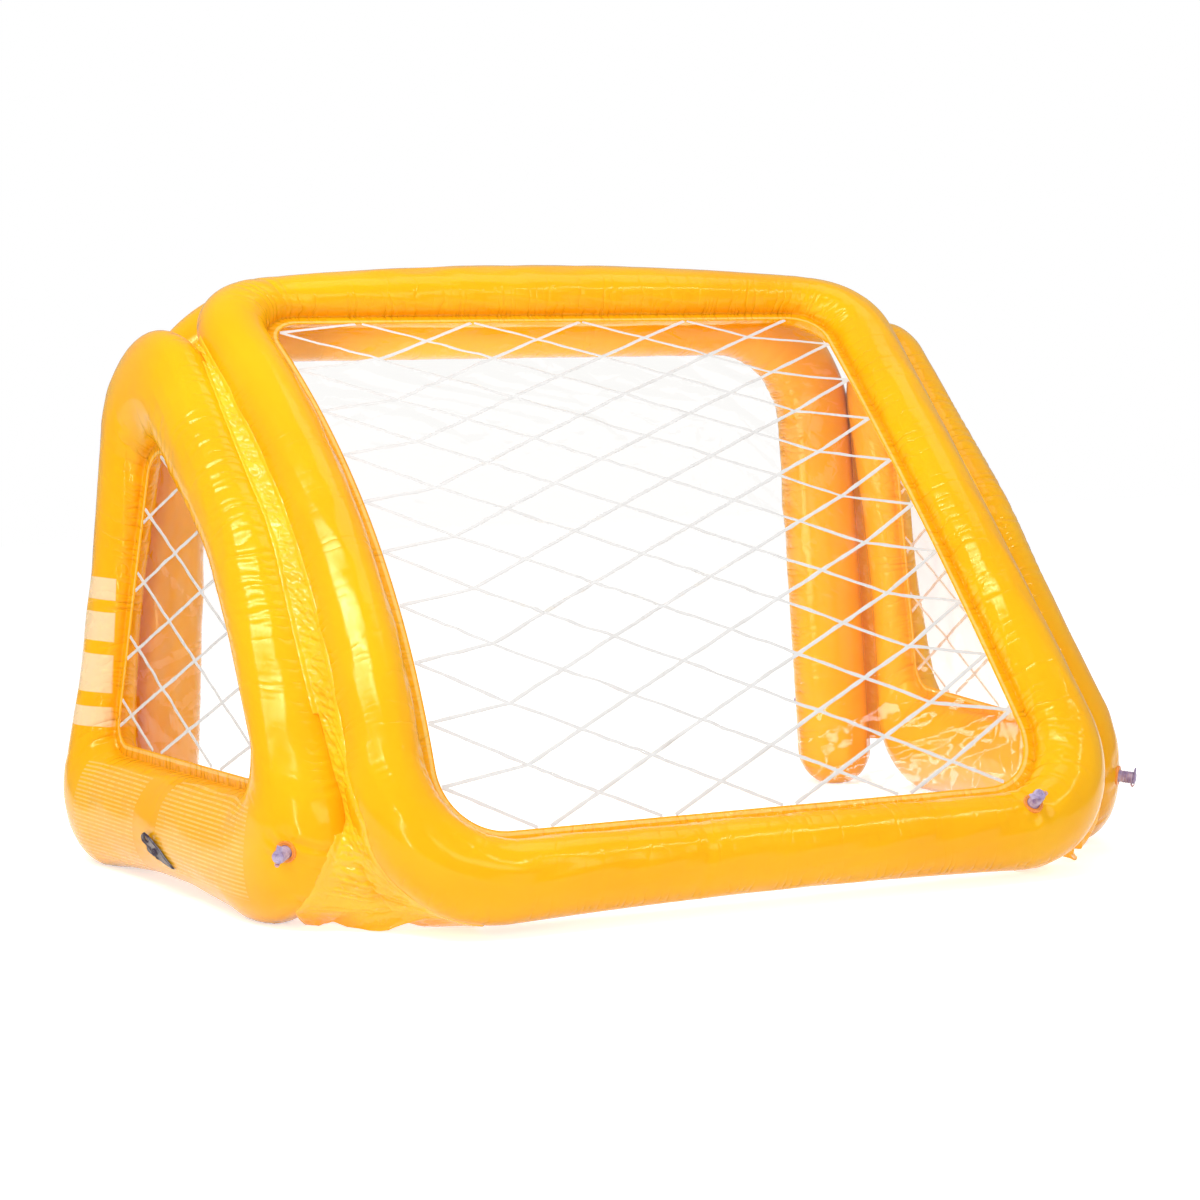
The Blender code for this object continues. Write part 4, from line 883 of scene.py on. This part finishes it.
def side_film(side_name, ring):
    """Film in a side ring: its outline drawn together towards the middle."""
    outline = (ring.window + 0.005 * ring.across)[::3]
    part = np.linspace(0, 1, 36)[:, None, None]
    middle = np.array([-0.07, 0.27])
    flat = middle + part * (outline[None] - middle)
    points = ring.place(flat, film_wave(flat, 51, edge_distance(flat, ring.window)))
    node = "side_window_" + side_name
    thicken(merged(grid_object("side_film_" + side_name, points, "clear_film", "goal", node, False, True)), FILM)


def inside(outline, points):
    """Whether a closed outline goes round each point: odd crossings of a level ray."""
    after = np.roll(outline, -1, axis=0)
    x, y = points[..., 0, None], points[..., 1, None]
    crosses = (outline[:, 1] > y) != (after[:, 1] > y)
    rise = np.where(outline[:, 1] == after[:, 1], 1.0, after[:, 1] - outline[:, 1])
    reach = outline[:, 0] + (y - outline[:, 1]) / rise * (after[:, 0] - outline[:, 0])
    return (crosses & (x < reach)).sum(-1) % 2 == 1


def net_object(name, starts, ends, ring, seed, node):
    """Printed lines from starts to ends, cut at the window: ribbons with a raised middle, rising ones on top."""
    tries = np.linspace(0, 1, 241)
    line = starts[:, None] * (1 - tries[:, None]) + ends[:, None] * tries[:, None]
    good = inside((ring.window - 0.0012 * ring.across)[::4], line)
    kept = good.sum(1) > 12
    first = tries[np.argmax(good, axis=1)][kept]
    last = tries[240 - np.argmax(good[:, ::-1], axis=1)][kept]
    starts, ends = starts[kept], ends[kept]
    part = (first[:, None] + (last - first)[:, None] * np.linspace(0, 1, LINE_ROWS))[..., None]
    middle = starts[:, None] * (1 - part) + ends[:, None] * part
    ray = unit(ends - starts)
    square = np.stack([-ray[:, 1], ray[:, 0]], axis=1)[:, None]
    wide = 0.0025 + 0.0003 * ripple(part[..., 0] * 9 + starts[:, :1] * 70, seed)
    place = np.array([-1.0, -0.6, 0.6, 1.0])
    flat = middle[:, :, None] + square[:, :, None] * (wide[..., None] * place)[..., None]
    crown = np.array([0.0001, 0.00045, 0.00045, 0.0001]) + 0.0001 * (ray[:, 0] > 0)[:, None, None]
    points = ring.place(flat, film_wave(flat, seed, edge_distance(flat, ring.window)) + 0.0001 + crown)
    index = np.arange(points[..., 0].size).reshape(len(points), LINE_ROWS, LINE_COLUMNS)[:, :-1, :-1]
    faces = np.stack([index, index + LINE_COLUMNS, index + LINE_COLUMNS + 1, index + 1], axis=-1)
    keep(name, mesh_of(name, points, faces), "white_print", "goal", node)


def back_net():
    """Crossings in 21 staggered rows, the outermost drawn to the weld margin 22 mm higher."""
    first = 0.0616 - 0.003
    pitch = (0.890 - first) / 20
    rows = np.arange(21)
    odd = rows % 2 == 1
    column = np.where(odd[:, None], 4 - 2 * np.arange(5), -5 + 2 * np.arange(5))
    x = (column + 0.5) * 0.082
    y = np.broadcast_to(first + rows[:, None] * pitch, x.shape).copy()
    level = y[1:-1, 0] + 0.022
    y[1:-1, 0] = level
    edge = half_width(back.window, level) - 0.001
    x[1:-1, 0] = np.where(odd[1:-1], edge, -edge)
    spots = np.stack([x, y], axis=-1)
    starts, ends = [], []
    for shift in (-1, 1):
        near = column[:-1, :, None] + shift == column[1:, None, :]
        row, a, b = np.nonzero(near)
        starts.append(spots[row, a])
        ends.append(spots[row + 1, b])
    net_object("back_print", np.concatenate(starts), np.concatenate(ends), back, 41, "back_net")


def side_net(side_name, ring):
    """Diamonds of 85 mm by 44 mm rows, cut at the window."""
    row, column = np.meshgrid(np.arange(-3, 9), np.arange(-3, 8), indexing="ij")
    odd = (row + column) % 2 == 1
    starts = np.stack([-0.186 + 0.085 * column[odd], 0.2412 + 0.0438 * row[odd]], axis=1)
    ends = np.concatenate([starts + (0.085, 0.0438), starts + (-0.085, 0.0438)])
    net_object("side_print_" + side_name, np.concatenate([starts] * 2), ends, ring, 51, "side_net_" + side_name)


back_film()
back_net()
for side_name, ring in sides.items():
    side_film(side_name, ring)
    side_net(side_name, ring)


# Seams


def valley_turns(first, first_at, second, second_at, depth, outwards):
    """Angles round two tubes at which a strip meets them, at an angle off the line between their centres."""
    between = unit(second.centre(second_at) - first.centre(first_at))
    lift = unit(outwards - between * (between * outwards).sum(1, keepdims=True)) * math.sin(depth)
    between = between * math.cos(depth)
    return first.toward(first_at, between + lift), second.toward(second_at, lift - between)


def draped_strip(name, first, first_at, second, second_at, turns, seed, node, crimp=0.0012, rate=110.0,
                 skirt=None):
    """Sheet across the valley between two tubes: from a hem on the first, straight over to a hem on the second,
    with foil-like folds that die out at both hems, pleats, a zigzag ridge and, where it is wide, a fold down the
    middle. first_at and second_at are places on each, row by row."""
    start_angle, end_angle = turns
    start, end = first.skin(first_at, start_angle, 0.0009), second.skin(second_at, end_angle, 0.0009)
    out = (start + end) / 2 - (first.centre(first_at) + second.centre(second_at)) / 2
    part = np.linspace(0, 1, 34)[None, :, None]
    web = start[:, None] * (1 - part) + end[:, None] * part
    down, width, part = travelled(start), np.linalg.norm(end - start, axis=1)[:, None], part[..., 0]
    across = part * width
    held = np.sin(math.pi * part) ** 0.5
    high = crimp * folds(down + 0 * across, across + 0 * down, seed, 5, rate) * held
    pleat = valley(down / 0.019 + ripple(down * 17, seed + 2) + across * 9, 0.7)
    high = high - crimp * 1.1 * pleat * held * (0.5 + 0.5 * ripple(down * 23, seed + 4))
    zigzag = 0.5 + 0.16 * np.arcsin(np.sin(down * 190 + 1.5 * ripple(down * 40, seed + 5)))
    high = high + 0.35 * crimp * bell(part, zigzag, 0.07)
    high = high - 0.006 * smooth(width, 0.05, 0.10) * bell(part, 0.5 + 0.04 * ripple(down * 60, 3), 0.05)
    middle = web + normals_toward(web, out[:, None]) * (high - 0.25 * width * held**2 * 0.12)[..., None]
    hem_a = hem_rows(first, first_at, start_angle, start, web[:, 1])
    hem_b = hem_rows(second, second_at, end_angle, end, web[:, -2])
    points = np.concatenate([hem_a, middle, hem_b[:, ::-1]], axis=1)
    if skirt is not None:
        points = np.concatenate([points, skirt_rows(points, skirt)])
    thicken(grid_object(name, points, "seam_sheet", "goal", node), 0.0006)


def normals_toward(points, out):
    """Unit normals of a grid, turned to the side of out."""
    found = normals_of(points)
    return found * np.sign((found * out).sum(-1, keepdims=True))


def hem_rows(tube, places, angles, edge, inner):
    """Three columns of sheet that lie on a tube beyond a strip's edge, the outermost pressed into it."""
    step = 0.004 / 0.05
    ahead = tube.skin(places, angles + step, 0.0) - edge
    sign = np.where((ahead * (inner - edge)).sum(1) > 0, -1.0, 1.0)
    steps = ((2.2, -0.0004), (1.6, 0.0004), (0.8, 0.0008))
    return np.stack([tube.skin(places, angles + sign * step * k, lift) for k, lift in steps], axis=1)


class Post:
    """A straight stretch of the mouth tube, in shares of its length, with a ring's methods."""

    def __init__(self, start, end):
        self.start, self.end = np.array(start, float), np.array(end, float)
        self.along = unit(self.end - self.start)
        self.x = unit(np.cross(self.along, (0.3, 0.8, 0.52)))
        self.y = np.cross(self.along, self.x)

    def centre(self, share):
        return self.start + np.asarray(share)[:, None] * (self.end - self.start)

    def at(self, share, angles, gap=0.0):
        angles = np.broadcast_to(angles, np.shape(share))[:, None]
        return self.centre(share) + (TUBE + gap) * (np.cos(angles) * self.x + np.sin(angles) * self.y)

    skin = at

    def toward(self, share, directions):
        return np.arctan2(directions @ self.y, directions @ self.x)


def leg_seam(side_name, ring):
    """Down the valley between the legs to 0.13 m, then round the rear bottom corner, where the sheet widens as
    its edges slip behind both tubes; a loose margin hangs from its last row."""
    leg = LEGS[side_name]
    heights = np.append(np.linspace(0.692, 0.130, 430), 0.022)
    there, here = back.station_near(2, heights, *leg), ring.station_near(2, heights, *SIDE_LEG)
    turns = valley_turns(back, there[:-1], ring, here[:-1], math.radians(25), BACK_OUT)
    part = np.linspace(0, 1, 100)[1:]
    there = np.append(there[:-1], there[-2] + 0.85 * (there[-1] - there[-2]) * part)
    here = np.append(here[:-1], here[-2] + (here[-1] - here[-2]) * part)
    soon = 1 - (1 - part) ** 4
    first = np.append(turns[0], turns[0][-1] * (1 - soon) + math.radians(-34) * soon)
    second = np.append(turns[1], turns[1][-1] * (1 - soon) + math.radians(-8) * soon)
    line = np.array(FLOOR_LINE) if side_name == "right" else np.array(FLOOR_LINE) * (-1, 1) + (-0.008, 0.014)
    draped_strip("leg_seam_" + side_name, back, there, ring, here, (first, second), 60, "back_seam_" + side_name,
                 0.0036, 150.0, line)


FLOOR_LINE = [(0.366, 0.338), (0.381, 0.330), (0.416, 0.323), (0.441, 0.322), (0.468, 0.326), (0.484, 0.310),
              (0.500, 0.281), (0.512, 0.262), (0.519, 0.246), (0.529, 0.256), (0.541, 0.242)]


def skirt_rows(rows, line):
    """Loose margin below a seam's last row: each column leaves it in its own direction and bends, as a cubic in
    the way down, to a jagged line on the floor; it is turned up a little in two places."""
    last, down = rows[-1], np.linspace(0, 1, 16)[1:, None, None]
    share, way = np.linspace(0, 1, len(last)), np.linspace(0, 1, len(line))
    floor = np.stack([np.interp(share, way, line[:, 0]), np.interp(share, way, line[:, 1]), 0 * share + LIP], 1)
    wave = 0.6 * ripple(share * 15, 91) + 0.4 * ripple(share * 38, 95)
    bent = bell(share, 0.32, 0.07) + 0.5 * bell(share, 0.70, 0.05)
    floor = floor + unit(floor - last) * (1, 1, 0) * (0.003 * wave + 0.005 * bent)[:, None]
    floor[:, 2] += 0.008 * bent + 0.001 * np.abs(wave)
    leave = (last - rows[-8]) * 2.5
    points = last + (floor - last) * (3 * down**2 - 2 * down**3) + leave * down * (1 - down) ** 2
    points[..., 2] = np.maximum(points[..., 2], LIP)
    return points


def seam_objects():
    """Strips between the legs, and webs from the mouth tube to the sides' uprights and the back's top bar."""
    for side_name, ring in sides.items():
        side = 1 if side_name == "right" else -1
        leg_seam(side_name, ring)
        heights = np.linspace(0.56, 0.06, 200)
        post = Post((side * 0.540, -0.3648, 0.0), (side * 0.502, -0.3824, 0.710))
        here, share = ring.station_near(2, heights, 47, 59), heights / 0.710
        turns = valley_turns(post, share, ring, here, math.radians(42), np.array([side * 0.7, -0.7, 0.0]))
        names = ("front_seam_sheet_" + side_name, "front_seam_" + side_name)
        draped_strip(names[0], post, share, ring, here, turns, 70 + side, names[1])
    bar = Post((0.502, -0.3824, 0.710), (-0.502, -0.3824, 0.710))
    x = np.linspace(0.36, -0.36, 240)
    share, there = (0.502 - x) / 1.004, back.station_near(0, x, 31, 41)
    turns = valley_turns(bar, share, back, there, math.radians(28), np.array([0.0, 0.0, 1.0]))
    draped_strip("roof_sheet", bar, share, back, there, turns, 80, "roof_seam")


seam_objects()


# Valves


def softened(profile, radius, steps=4):
    """A closed profile with each corner replaced by a quadratic curve that starts a radius before it."""
    profile = np.array(profile, float)
    before, after = np.roll(profile, 1, axis=0) - profile, np.roll(profile, -1, axis=0) - profile
    limit = np.minimum(np.linalg.norm(before, axis=1), np.linalg.norm(after, axis=1)) * 0.45
    reach = np.minimum(radius, limit)[:, None]
    enter, leave = profile + unit(before) * reach, profile + unit(after) * reach
    part = np.linspace(0, 1, steps + 1)[None, :, None]
    curve = (1 - part) ** 2 * enter[:, None] + 2 * part * (1 - part) * profile[:, None] + part**2 * leave[:, None]
    return curve.reshape(-1, 2)


def into(matrix, points):
    """Points of a valve's own frame, in the world."""
    return points @ matrix[:3, :3].T + matrix[:3, 3]


def lathe(name, profile, matrix, slot, body, node, sides=72):
    """A closed profile of (radius, height) spun about z: (r cos t, r sin t, h)."""
    turn = np.linspace(0, 2 * math.pi, sides + 1)[:-1, None]
    radius, height = profile[None, :, 0], profile[None, :, 1] + 0 * turn
    points = np.stack([radius * np.cos(turn), radius * np.sin(turn), height], axis=-1)
    merged(grid_object(name, into(matrix, points), slot, body, node, True, True))


def rounded_bar(name, low, high, matrix, body, radius, node=None):
    """A box with rounded edges in a valve's frame."""
    work = bmesh.new()
    bmesh.ops.create_cube(work, size=1.0)
    low, high = np.array(low), np.array(high)
    bmesh.ops.scale(work, vec=high - low, verts=work.verts)
    bmesh.ops.translate(work, vec=(low + high) / 2, verts=work.verts)
    bmesh.ops.bevel(work, geom=work.edges[:], offset=radius, segments=3, profile=0.5, affect="EDGES")
    bmesh.ops.transform(work, matrix=Matrix(matrix.tolist()), verts=work.verts)
    mesh = bpy.data.meshes.new(name)
    work.to_mesh(mesh)
    work.free()
    mesh.shade_smooth()
    keep(name, mesh, "valve_lilac", body, node)


def stem_outline():
    """Closed profile of the stem: four rolled ribs on its side, a bore, and the rim below the base."""
    side = [(0.0068, STEM_TOP)]
    for middle in (0.0182, 0.0146, 0.0110, 0.0074):
        side += [(0.0072, middle + 0.0017), (0.0080, middle + 0.0009), (0.0080, middle - 0.0009)]
    side += [(0.0072, 0.0056), (0.0078, 0.0030), (0.0080, -0.0030)]
    return softened(side + [(0.0093, -0.0030), (0.0093, -0.0050), (BORE, -0.0050), (BORE, STEM_TOP)], 0.0004)


def plug_outline():
    """Closed half profile of the plug: two raised rings on its cap, and a peg with a bulb in the bore."""
    top, low = PLUG_TOP, PLUG_TOP - 0.0004
    cap = [(AXIS, low), (0.0012, low), (0.0018, top), (0.0026, top), (0.0031, top - 0.0006)]
    cap += [(0.0041, top - 0.0006), (0.0047, top), (0.0062, top), (0.0075, top - 0.0008), (0.0075, CAP_FOOT)]
    peg = [(0.0038, CAP_FOOT), (0.0036, 0.0150), (0.0038, 0.0135), (0.0030, 0.0123), (AXIS, 0.0123)]
    return softened(cap + peg, 0.0003)


def strap_points():
    """The strap's band: it leaves the stem's side, bows out by a half sine and ends at the plug's cap."""
    part, side = np.linspace(0, 1, 28)[:, None], np.linspace(-1, 1, 9)[None, :]
    reach = 0.0091 + 0.0035 * np.sin(math.pi * part) - 0.0006 * side**2
    height = 0.017 + (0.0216 - 0.017) * part
    width = 0.002 * side * (1 + 0.25 * np.cos(2 * math.pi * part))
    return np.stack([-reach + 0 * side, width, height + 0 * side], -1)


STEM_TOP, CAP_FOOT, PLUG_TOP = 0.0200, 0.0203, 0.0228
BORE = 0.0042
AXIS = 0.00001  # a profile's start and end, a hair off its axis
BACK_AXIS = (0.0954, 0.7639, 0.6382)
SIDE_AXES = {"right": (0.6712, 0.7333, -0.1084), "left": (-0.6712, 0.7333, -0.1084)}


def turned(matrix, axis):
    """The frame with its z turned to the axis that the source's stem slides along."""
    axis = unit(axis)
    side = unit(np.cross(axis, matrix[:3, 0]))
    return frame_matrix(matrix[:3, 3], np.cross(side, axis), side, axis)


def valve(prefix, matrix):
    """Base ring, stem, plug with a ribbed pull tab, strap and check flap, in the valve's own frame."""
    stem, plug, flap = (prefix + end for end in ("_stem", "_plug", "_flap"))
    base = [(0.0084, 0.0012), (0.0100, 0.0008), (0.0112, 0.0014), (0.0124, 0.0012), (0.0130, 0.0)]
    base = softened(base + [(0.0130, -0.0027), (0.0084, -0.0027)], 0.0005)
    disc = softened([(AXIS, 0.0005), (0.0052, 0.0005), (0.0052, -0.0005), (AXIS, -0.0005)], 0.0003)
    lathe(prefix + "_ring", base, matrix, "valve_base", "goal", prefix + "_base")
    lathe(prefix + "_tube", stem_outline(), matrix, "valve_lilac", stem, stem)
    lathe(prefix + "_cap", plug_outline(), matrix, "valve_lilac", plug, plug)
    foot = CAP_FOOT + 0.0011 / 3
    low, high = (0.0055, -0.004, foot), (0.014, 0.004, foot + 0.0014)
    rounded_bar(prefix + "_pull_tab", low, high, matrix, plug, 0.0005, plug)
    for k in range(5):
        x = 0.0083 + 0.0012 * k
        low, high = (x - 0.0003, -0.0033, foot + 0.0011), (x + 0.0003, 0.0033, foot + 0.0018)
        rounded_bar(prefix + "_tab_rib_%d" % k, low, high, matrix, plug, 0.00015)
    band = grid_object(prefix + "_band", into(matrix, strap_points()), "valve_strap", None, prefix + "_strap")
    thicken(band, 0.0009)
    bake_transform(band)
    shift = np.eye(4)
    shift[:3, 3] = (0.0, 0.0, -0.0058)
    lathe(prefix + "_disc", disc, matrix @ shift, "valve_lilac", flap, flap, 40)


def mouth_valve_frame():
    """On the left post, its stem's axis 77 degrees off X."""
    post = Post((-0.540, -0.3648, 0.0), (-0.502, -0.3824, 0.710))
    out = np.array([math.cos(math.radians(77)), -math.sin(math.radians(77)), 0.0])
    out = unit(out - post.along * (post.along @ out))
    point = post.start + 0.17 * (post.end - post.start) + out * TUBE
    return frame_matrix(point, post.along, np.cross(out, post.along), out)


valve("back_valve", turned(back.frame_at(*BACK_VALVE), BACK_AXIS))
for side_name, ring in sides.items():
    valve("side_valve_" + side_name, turned(ring.frame_at(*SIDE_VALVE), SIDE_AXES[side_name]))
valve("mouth_valve", mouth_valve_frame())


# Rope tabs

TAB_LEFT = [(0.025, -0.0218), (0.0056, -0.0175), (-0.0098, -0.0133), (-0.025, -0.0097), (-0.0288, -0.0060),
            (-0.0266, 0.0), (-0.030, 0.0060), (-0.0308, 0.0109), (-0.0266, 0.0157), (-0.0175, 0.0190)]
TAB_RIGHT = [(-0.0145, 0.0190), (-0.004, 0.0157), (0.0022, 0.0109), (0.0067, 0.0060), (0.0118, 0.0),
             (0.0174, -0.0060), (0.0207, -0.0097), (0.024, -0.0133), (0.028, -0.0175), (0.031, -0.0218)]
TAB_HOLE, TAB_BOSS = np.array([-0.0154, 0.0118]), np.array([-0.0070, -0.0048])
HOLE = 0.0042


def tab_outline():
    """The tab's edge, a closed Catmull-Rom curve through its points, by angle round the hole."""
    corner = np.array(TAB_LEFT + TAB_RIGHT)
    part = np.linspace(0, 1, 12, endpoint=False)[None, :, None]
    before, here, there, beyond = (np.roll(corner, k, axis=0)[:, None] for k in (1, 0, -1, -2))
    curve = here + 0.5 * part * (there - before + part * (2 * before - 5 * here + 4 * there - beyond)
                                 + part**2 * (3 * (here - there) + beyond - before))
    curve = curve.reshape(-1, 2) - TAB_HOLE
    turn = np.arctan2(curve[:, 1], curve[:, 0])
    order = np.argsort(turn)
    angles = np.linspace(-math.pi, math.pi, 180, endpoint=False)
    return angles, np.interp(angles, turn[order], np.linalg.norm(curve, axis=1)[order], period=2 * math.pi)


def rope_tab(side_name, ring):
    """A moulded patch in rings round its hole: a raised eyelet, a fold between its lobes, a round boss with a lip,
    edges that drop to the pontoon; its upper lobe stands off the tube."""
    angles, reach = tab_outline()
    share = np.concatenate([np.linspace(0, 1, 46) ** 0.9, np.linspace(1, 0, 12)])[:, None]
    face = np.concatenate([np.ones(46), np.zeros(12)])[:, None]
    radius = HOLE + (reach[None, :] - HOLE) * share
    flat = TAB_HOLE + radius[..., None] * np.stack([np.cos(angles), np.sin(angles)], axis=1)
    x, y = flat[..., 0], flat[..., 1]
    rim, eye = (reach[None, :] - radius).clip(0.0), radius - HOLE
    fold = (x + 0.0215) * 0.66 + (y - 0.0015) * 0.75
    boss = np.linalg.norm(flat - TAB_BOSS, axis=-1)
    top = 0.0017 * (1 - np.exp(-rim / 0.0009)) * (1 - np.exp(-(eye + 0.0002) / 0.0006))
    top = top + 0.0008 * bell(eye, 0.0016, 0.0009) + 0.0011 * bell(fold, 0.0, 0.0011) * smooth(rim, 0.0, 0.003)
    top = top + 0.0028 * (1 - smooth(boss, 0.0036, 0.0050)) - 0.0012 * (1 - smooth(boss, 0.0015, 0.0032))
    top = top + 0.0006 * bell(rim, 0.0022, 0.0008)
    height = 0.0012 + 0.006 * np.clip(y / 0.0190, 0, 1) + top * face - 0.0003 * (1 - face)
    station = ring.station_near(1, ring.place(np.array([0.036, 0.0]), 0.0)[1], 6, 12)
    turn = math.radians(68)
    step = np.linalg.norm(ring.at(station + 0.5, turn) - ring.at(station - 0.5, turn))
    girth = float(ring.take(ring.half, np.array(station)))
    points = ring.at(station + x / step, turn + y / girth, height)
    merged(grid_object("tab_" + side_name, points, "dark_tab", "goal", "rope_tab_" + side_name, True, True))


for side_name, ring in sides.items():
    rope_tab(side_name, ring)


# Camera, light, floor


def stage_material(name, colour, lift):
    """Matt pale surface that camera, mirror and glass rays see a little brighter, up to white."""
    made = bpy.data.materials.new(name)
    made.use_nodes = True
    web = Web(made.node_tree)
    rays = web.node("LightPath").outputs
    seen = web.math("MAXIMUM", rays["Is Camera Ray"], rays["Is Glossy Ray"])
    seen = web.math("MAXIMUM", seen, rays["Is Transmission Ray"])
    web.fill(made.node_tree.nodes["Principled BSDF"], Base_Color=(*colour, 1.0), Roughness=0.9,
             Specular_IOR_Level=0.1, Emission_Color=(1.0, 1.0, 1.0, 1.0),
             Emission_Strength=web.math("MULTIPLY", seen, lift))
    return made


def floor_object():
    """A level floor, 12 m square."""
    x = np.linspace(-6.0, 6.0, 13)
    points = np.stack(np.meshgrid(x, x, [-0.0004], indexing="ij"), axis=-1)
    index = np.arange(12)[:, None] * 13 + np.arange(12)
    mesh = mesh_of("floor", points, np.stack([index, index + 13, index + 14, index + 1], axis=-1))
    mesh.materials.append(stage_material("floor_paper", (0.92, 0.92, 0.92), 0.62))
    linked("floor", mesh)


def softbox(name, low, high, aim, width, power):
    """A lamp whose long axis runs from low to high and which shines at aim."""
    low, high = np.array(low), np.array(high)
    place = (low + high) / 2
    light = bpy.data.lights.new(name, "AREA")
    light.shape, light.size, light.size_y = "RECTANGLE", width, float(np.linalg.norm(high - low))
    light.energy = power
    made = linked(name, light)
    made.visible_camera = made.visible_transmission = False
    out = unit(place - np.array(aim))
    side = unit(np.cross(high - low, out))
    made.matrix_world = Matrix(frame_matrix(place, side, np.cross(out, side), out).tolist())


def studio():
    """White surroundings for what is seen, a dimmer white for light, soft boxes, narrow lamps for the long
    highlights, and a fill inside the goal."""
    world = bpy.data.worlds.new("studio")
    bpy.context.scene.world = world
    world.use_nodes = True
    web = Web(world.node_tree)
    rays = web.node("LightPath").outputs
    seen = web.math("MAXIMUM", rays["Is Camera Ray"], rays["Is Transmission Ray"])
    light = web.ramp(seen, 0.0, 1.0, 0.42, 1.0)
    web.fill(world.node_tree.nodes["Background"], Color=(1.0, 1.0, 1.0, 1.0), Strength=light)
    middle = (0.1, 0.1, 0.35)
    softbox("key_box", (2.45, 0.0, 2.15), (0.75, 1.25, 2.9), middle, 0.6, 31)
    softbox("key_core", (2.20, 0.05, 2.05), (0.85, 1.10, 2.65), middle, 0.12, 13)
    softbox("low_strip", (2.35, 2.35, 0.25), (2.2, 2.2, 1.7), middle, 0.14, 11)
    softbox("left_strip", (-2.2, 1.5, 2.3), (-1.2, 2.4, 2.3), middle, 0.16, 8)
    softbox("rear_box", (-1.6, 3.6, 1.8), (0.6, 3.8, 1.8), middle, 1.2, 24)
    softbox("inner_fill", (0.30, -0.10, 0.12), (0.30, -0.20, 0.50), (-0.6, -0.1, 0.35), 0.3, 2.2)
    softbox("top_box", (-0.9, -0.6, 3.2), (-0.9, 1.0, 3.2), middle, 1.6, 11)


def camera():
    """The photograph's view: 2721.4 px of focal length on a 1200 px frame, centred at (513.2, 538.3)."""
    lens = bpy.data.cameras.new("camera")
    made = linked("camera", lens)
    ahead, right = np.array([-0.4049, -0.9115, -0.0720]), np.array([-0.9135, 0.4067, -0.0121])
    backwards = -unit(ahead)
    side = unit(right - backwards * (right @ backwards))
    place = (1.5924, 3.2230, 0.6794)
    made.matrix_world = Matrix(frame_matrix(place, side, np.cross(backwards, side), backwards).tolist())
    lens.sensor_width, lens.lens = 36.0, 2721.4 / 1200 * 36
    lens.shift_x, lens.shift_y = (600 - 513.2) / 1200, -(600 - 538.3) / 1200
    bpy.context.scene.camera = made


floor_object()
studio()
camera()
bpy.context.scene.view_settings.view_transform = "Standard"
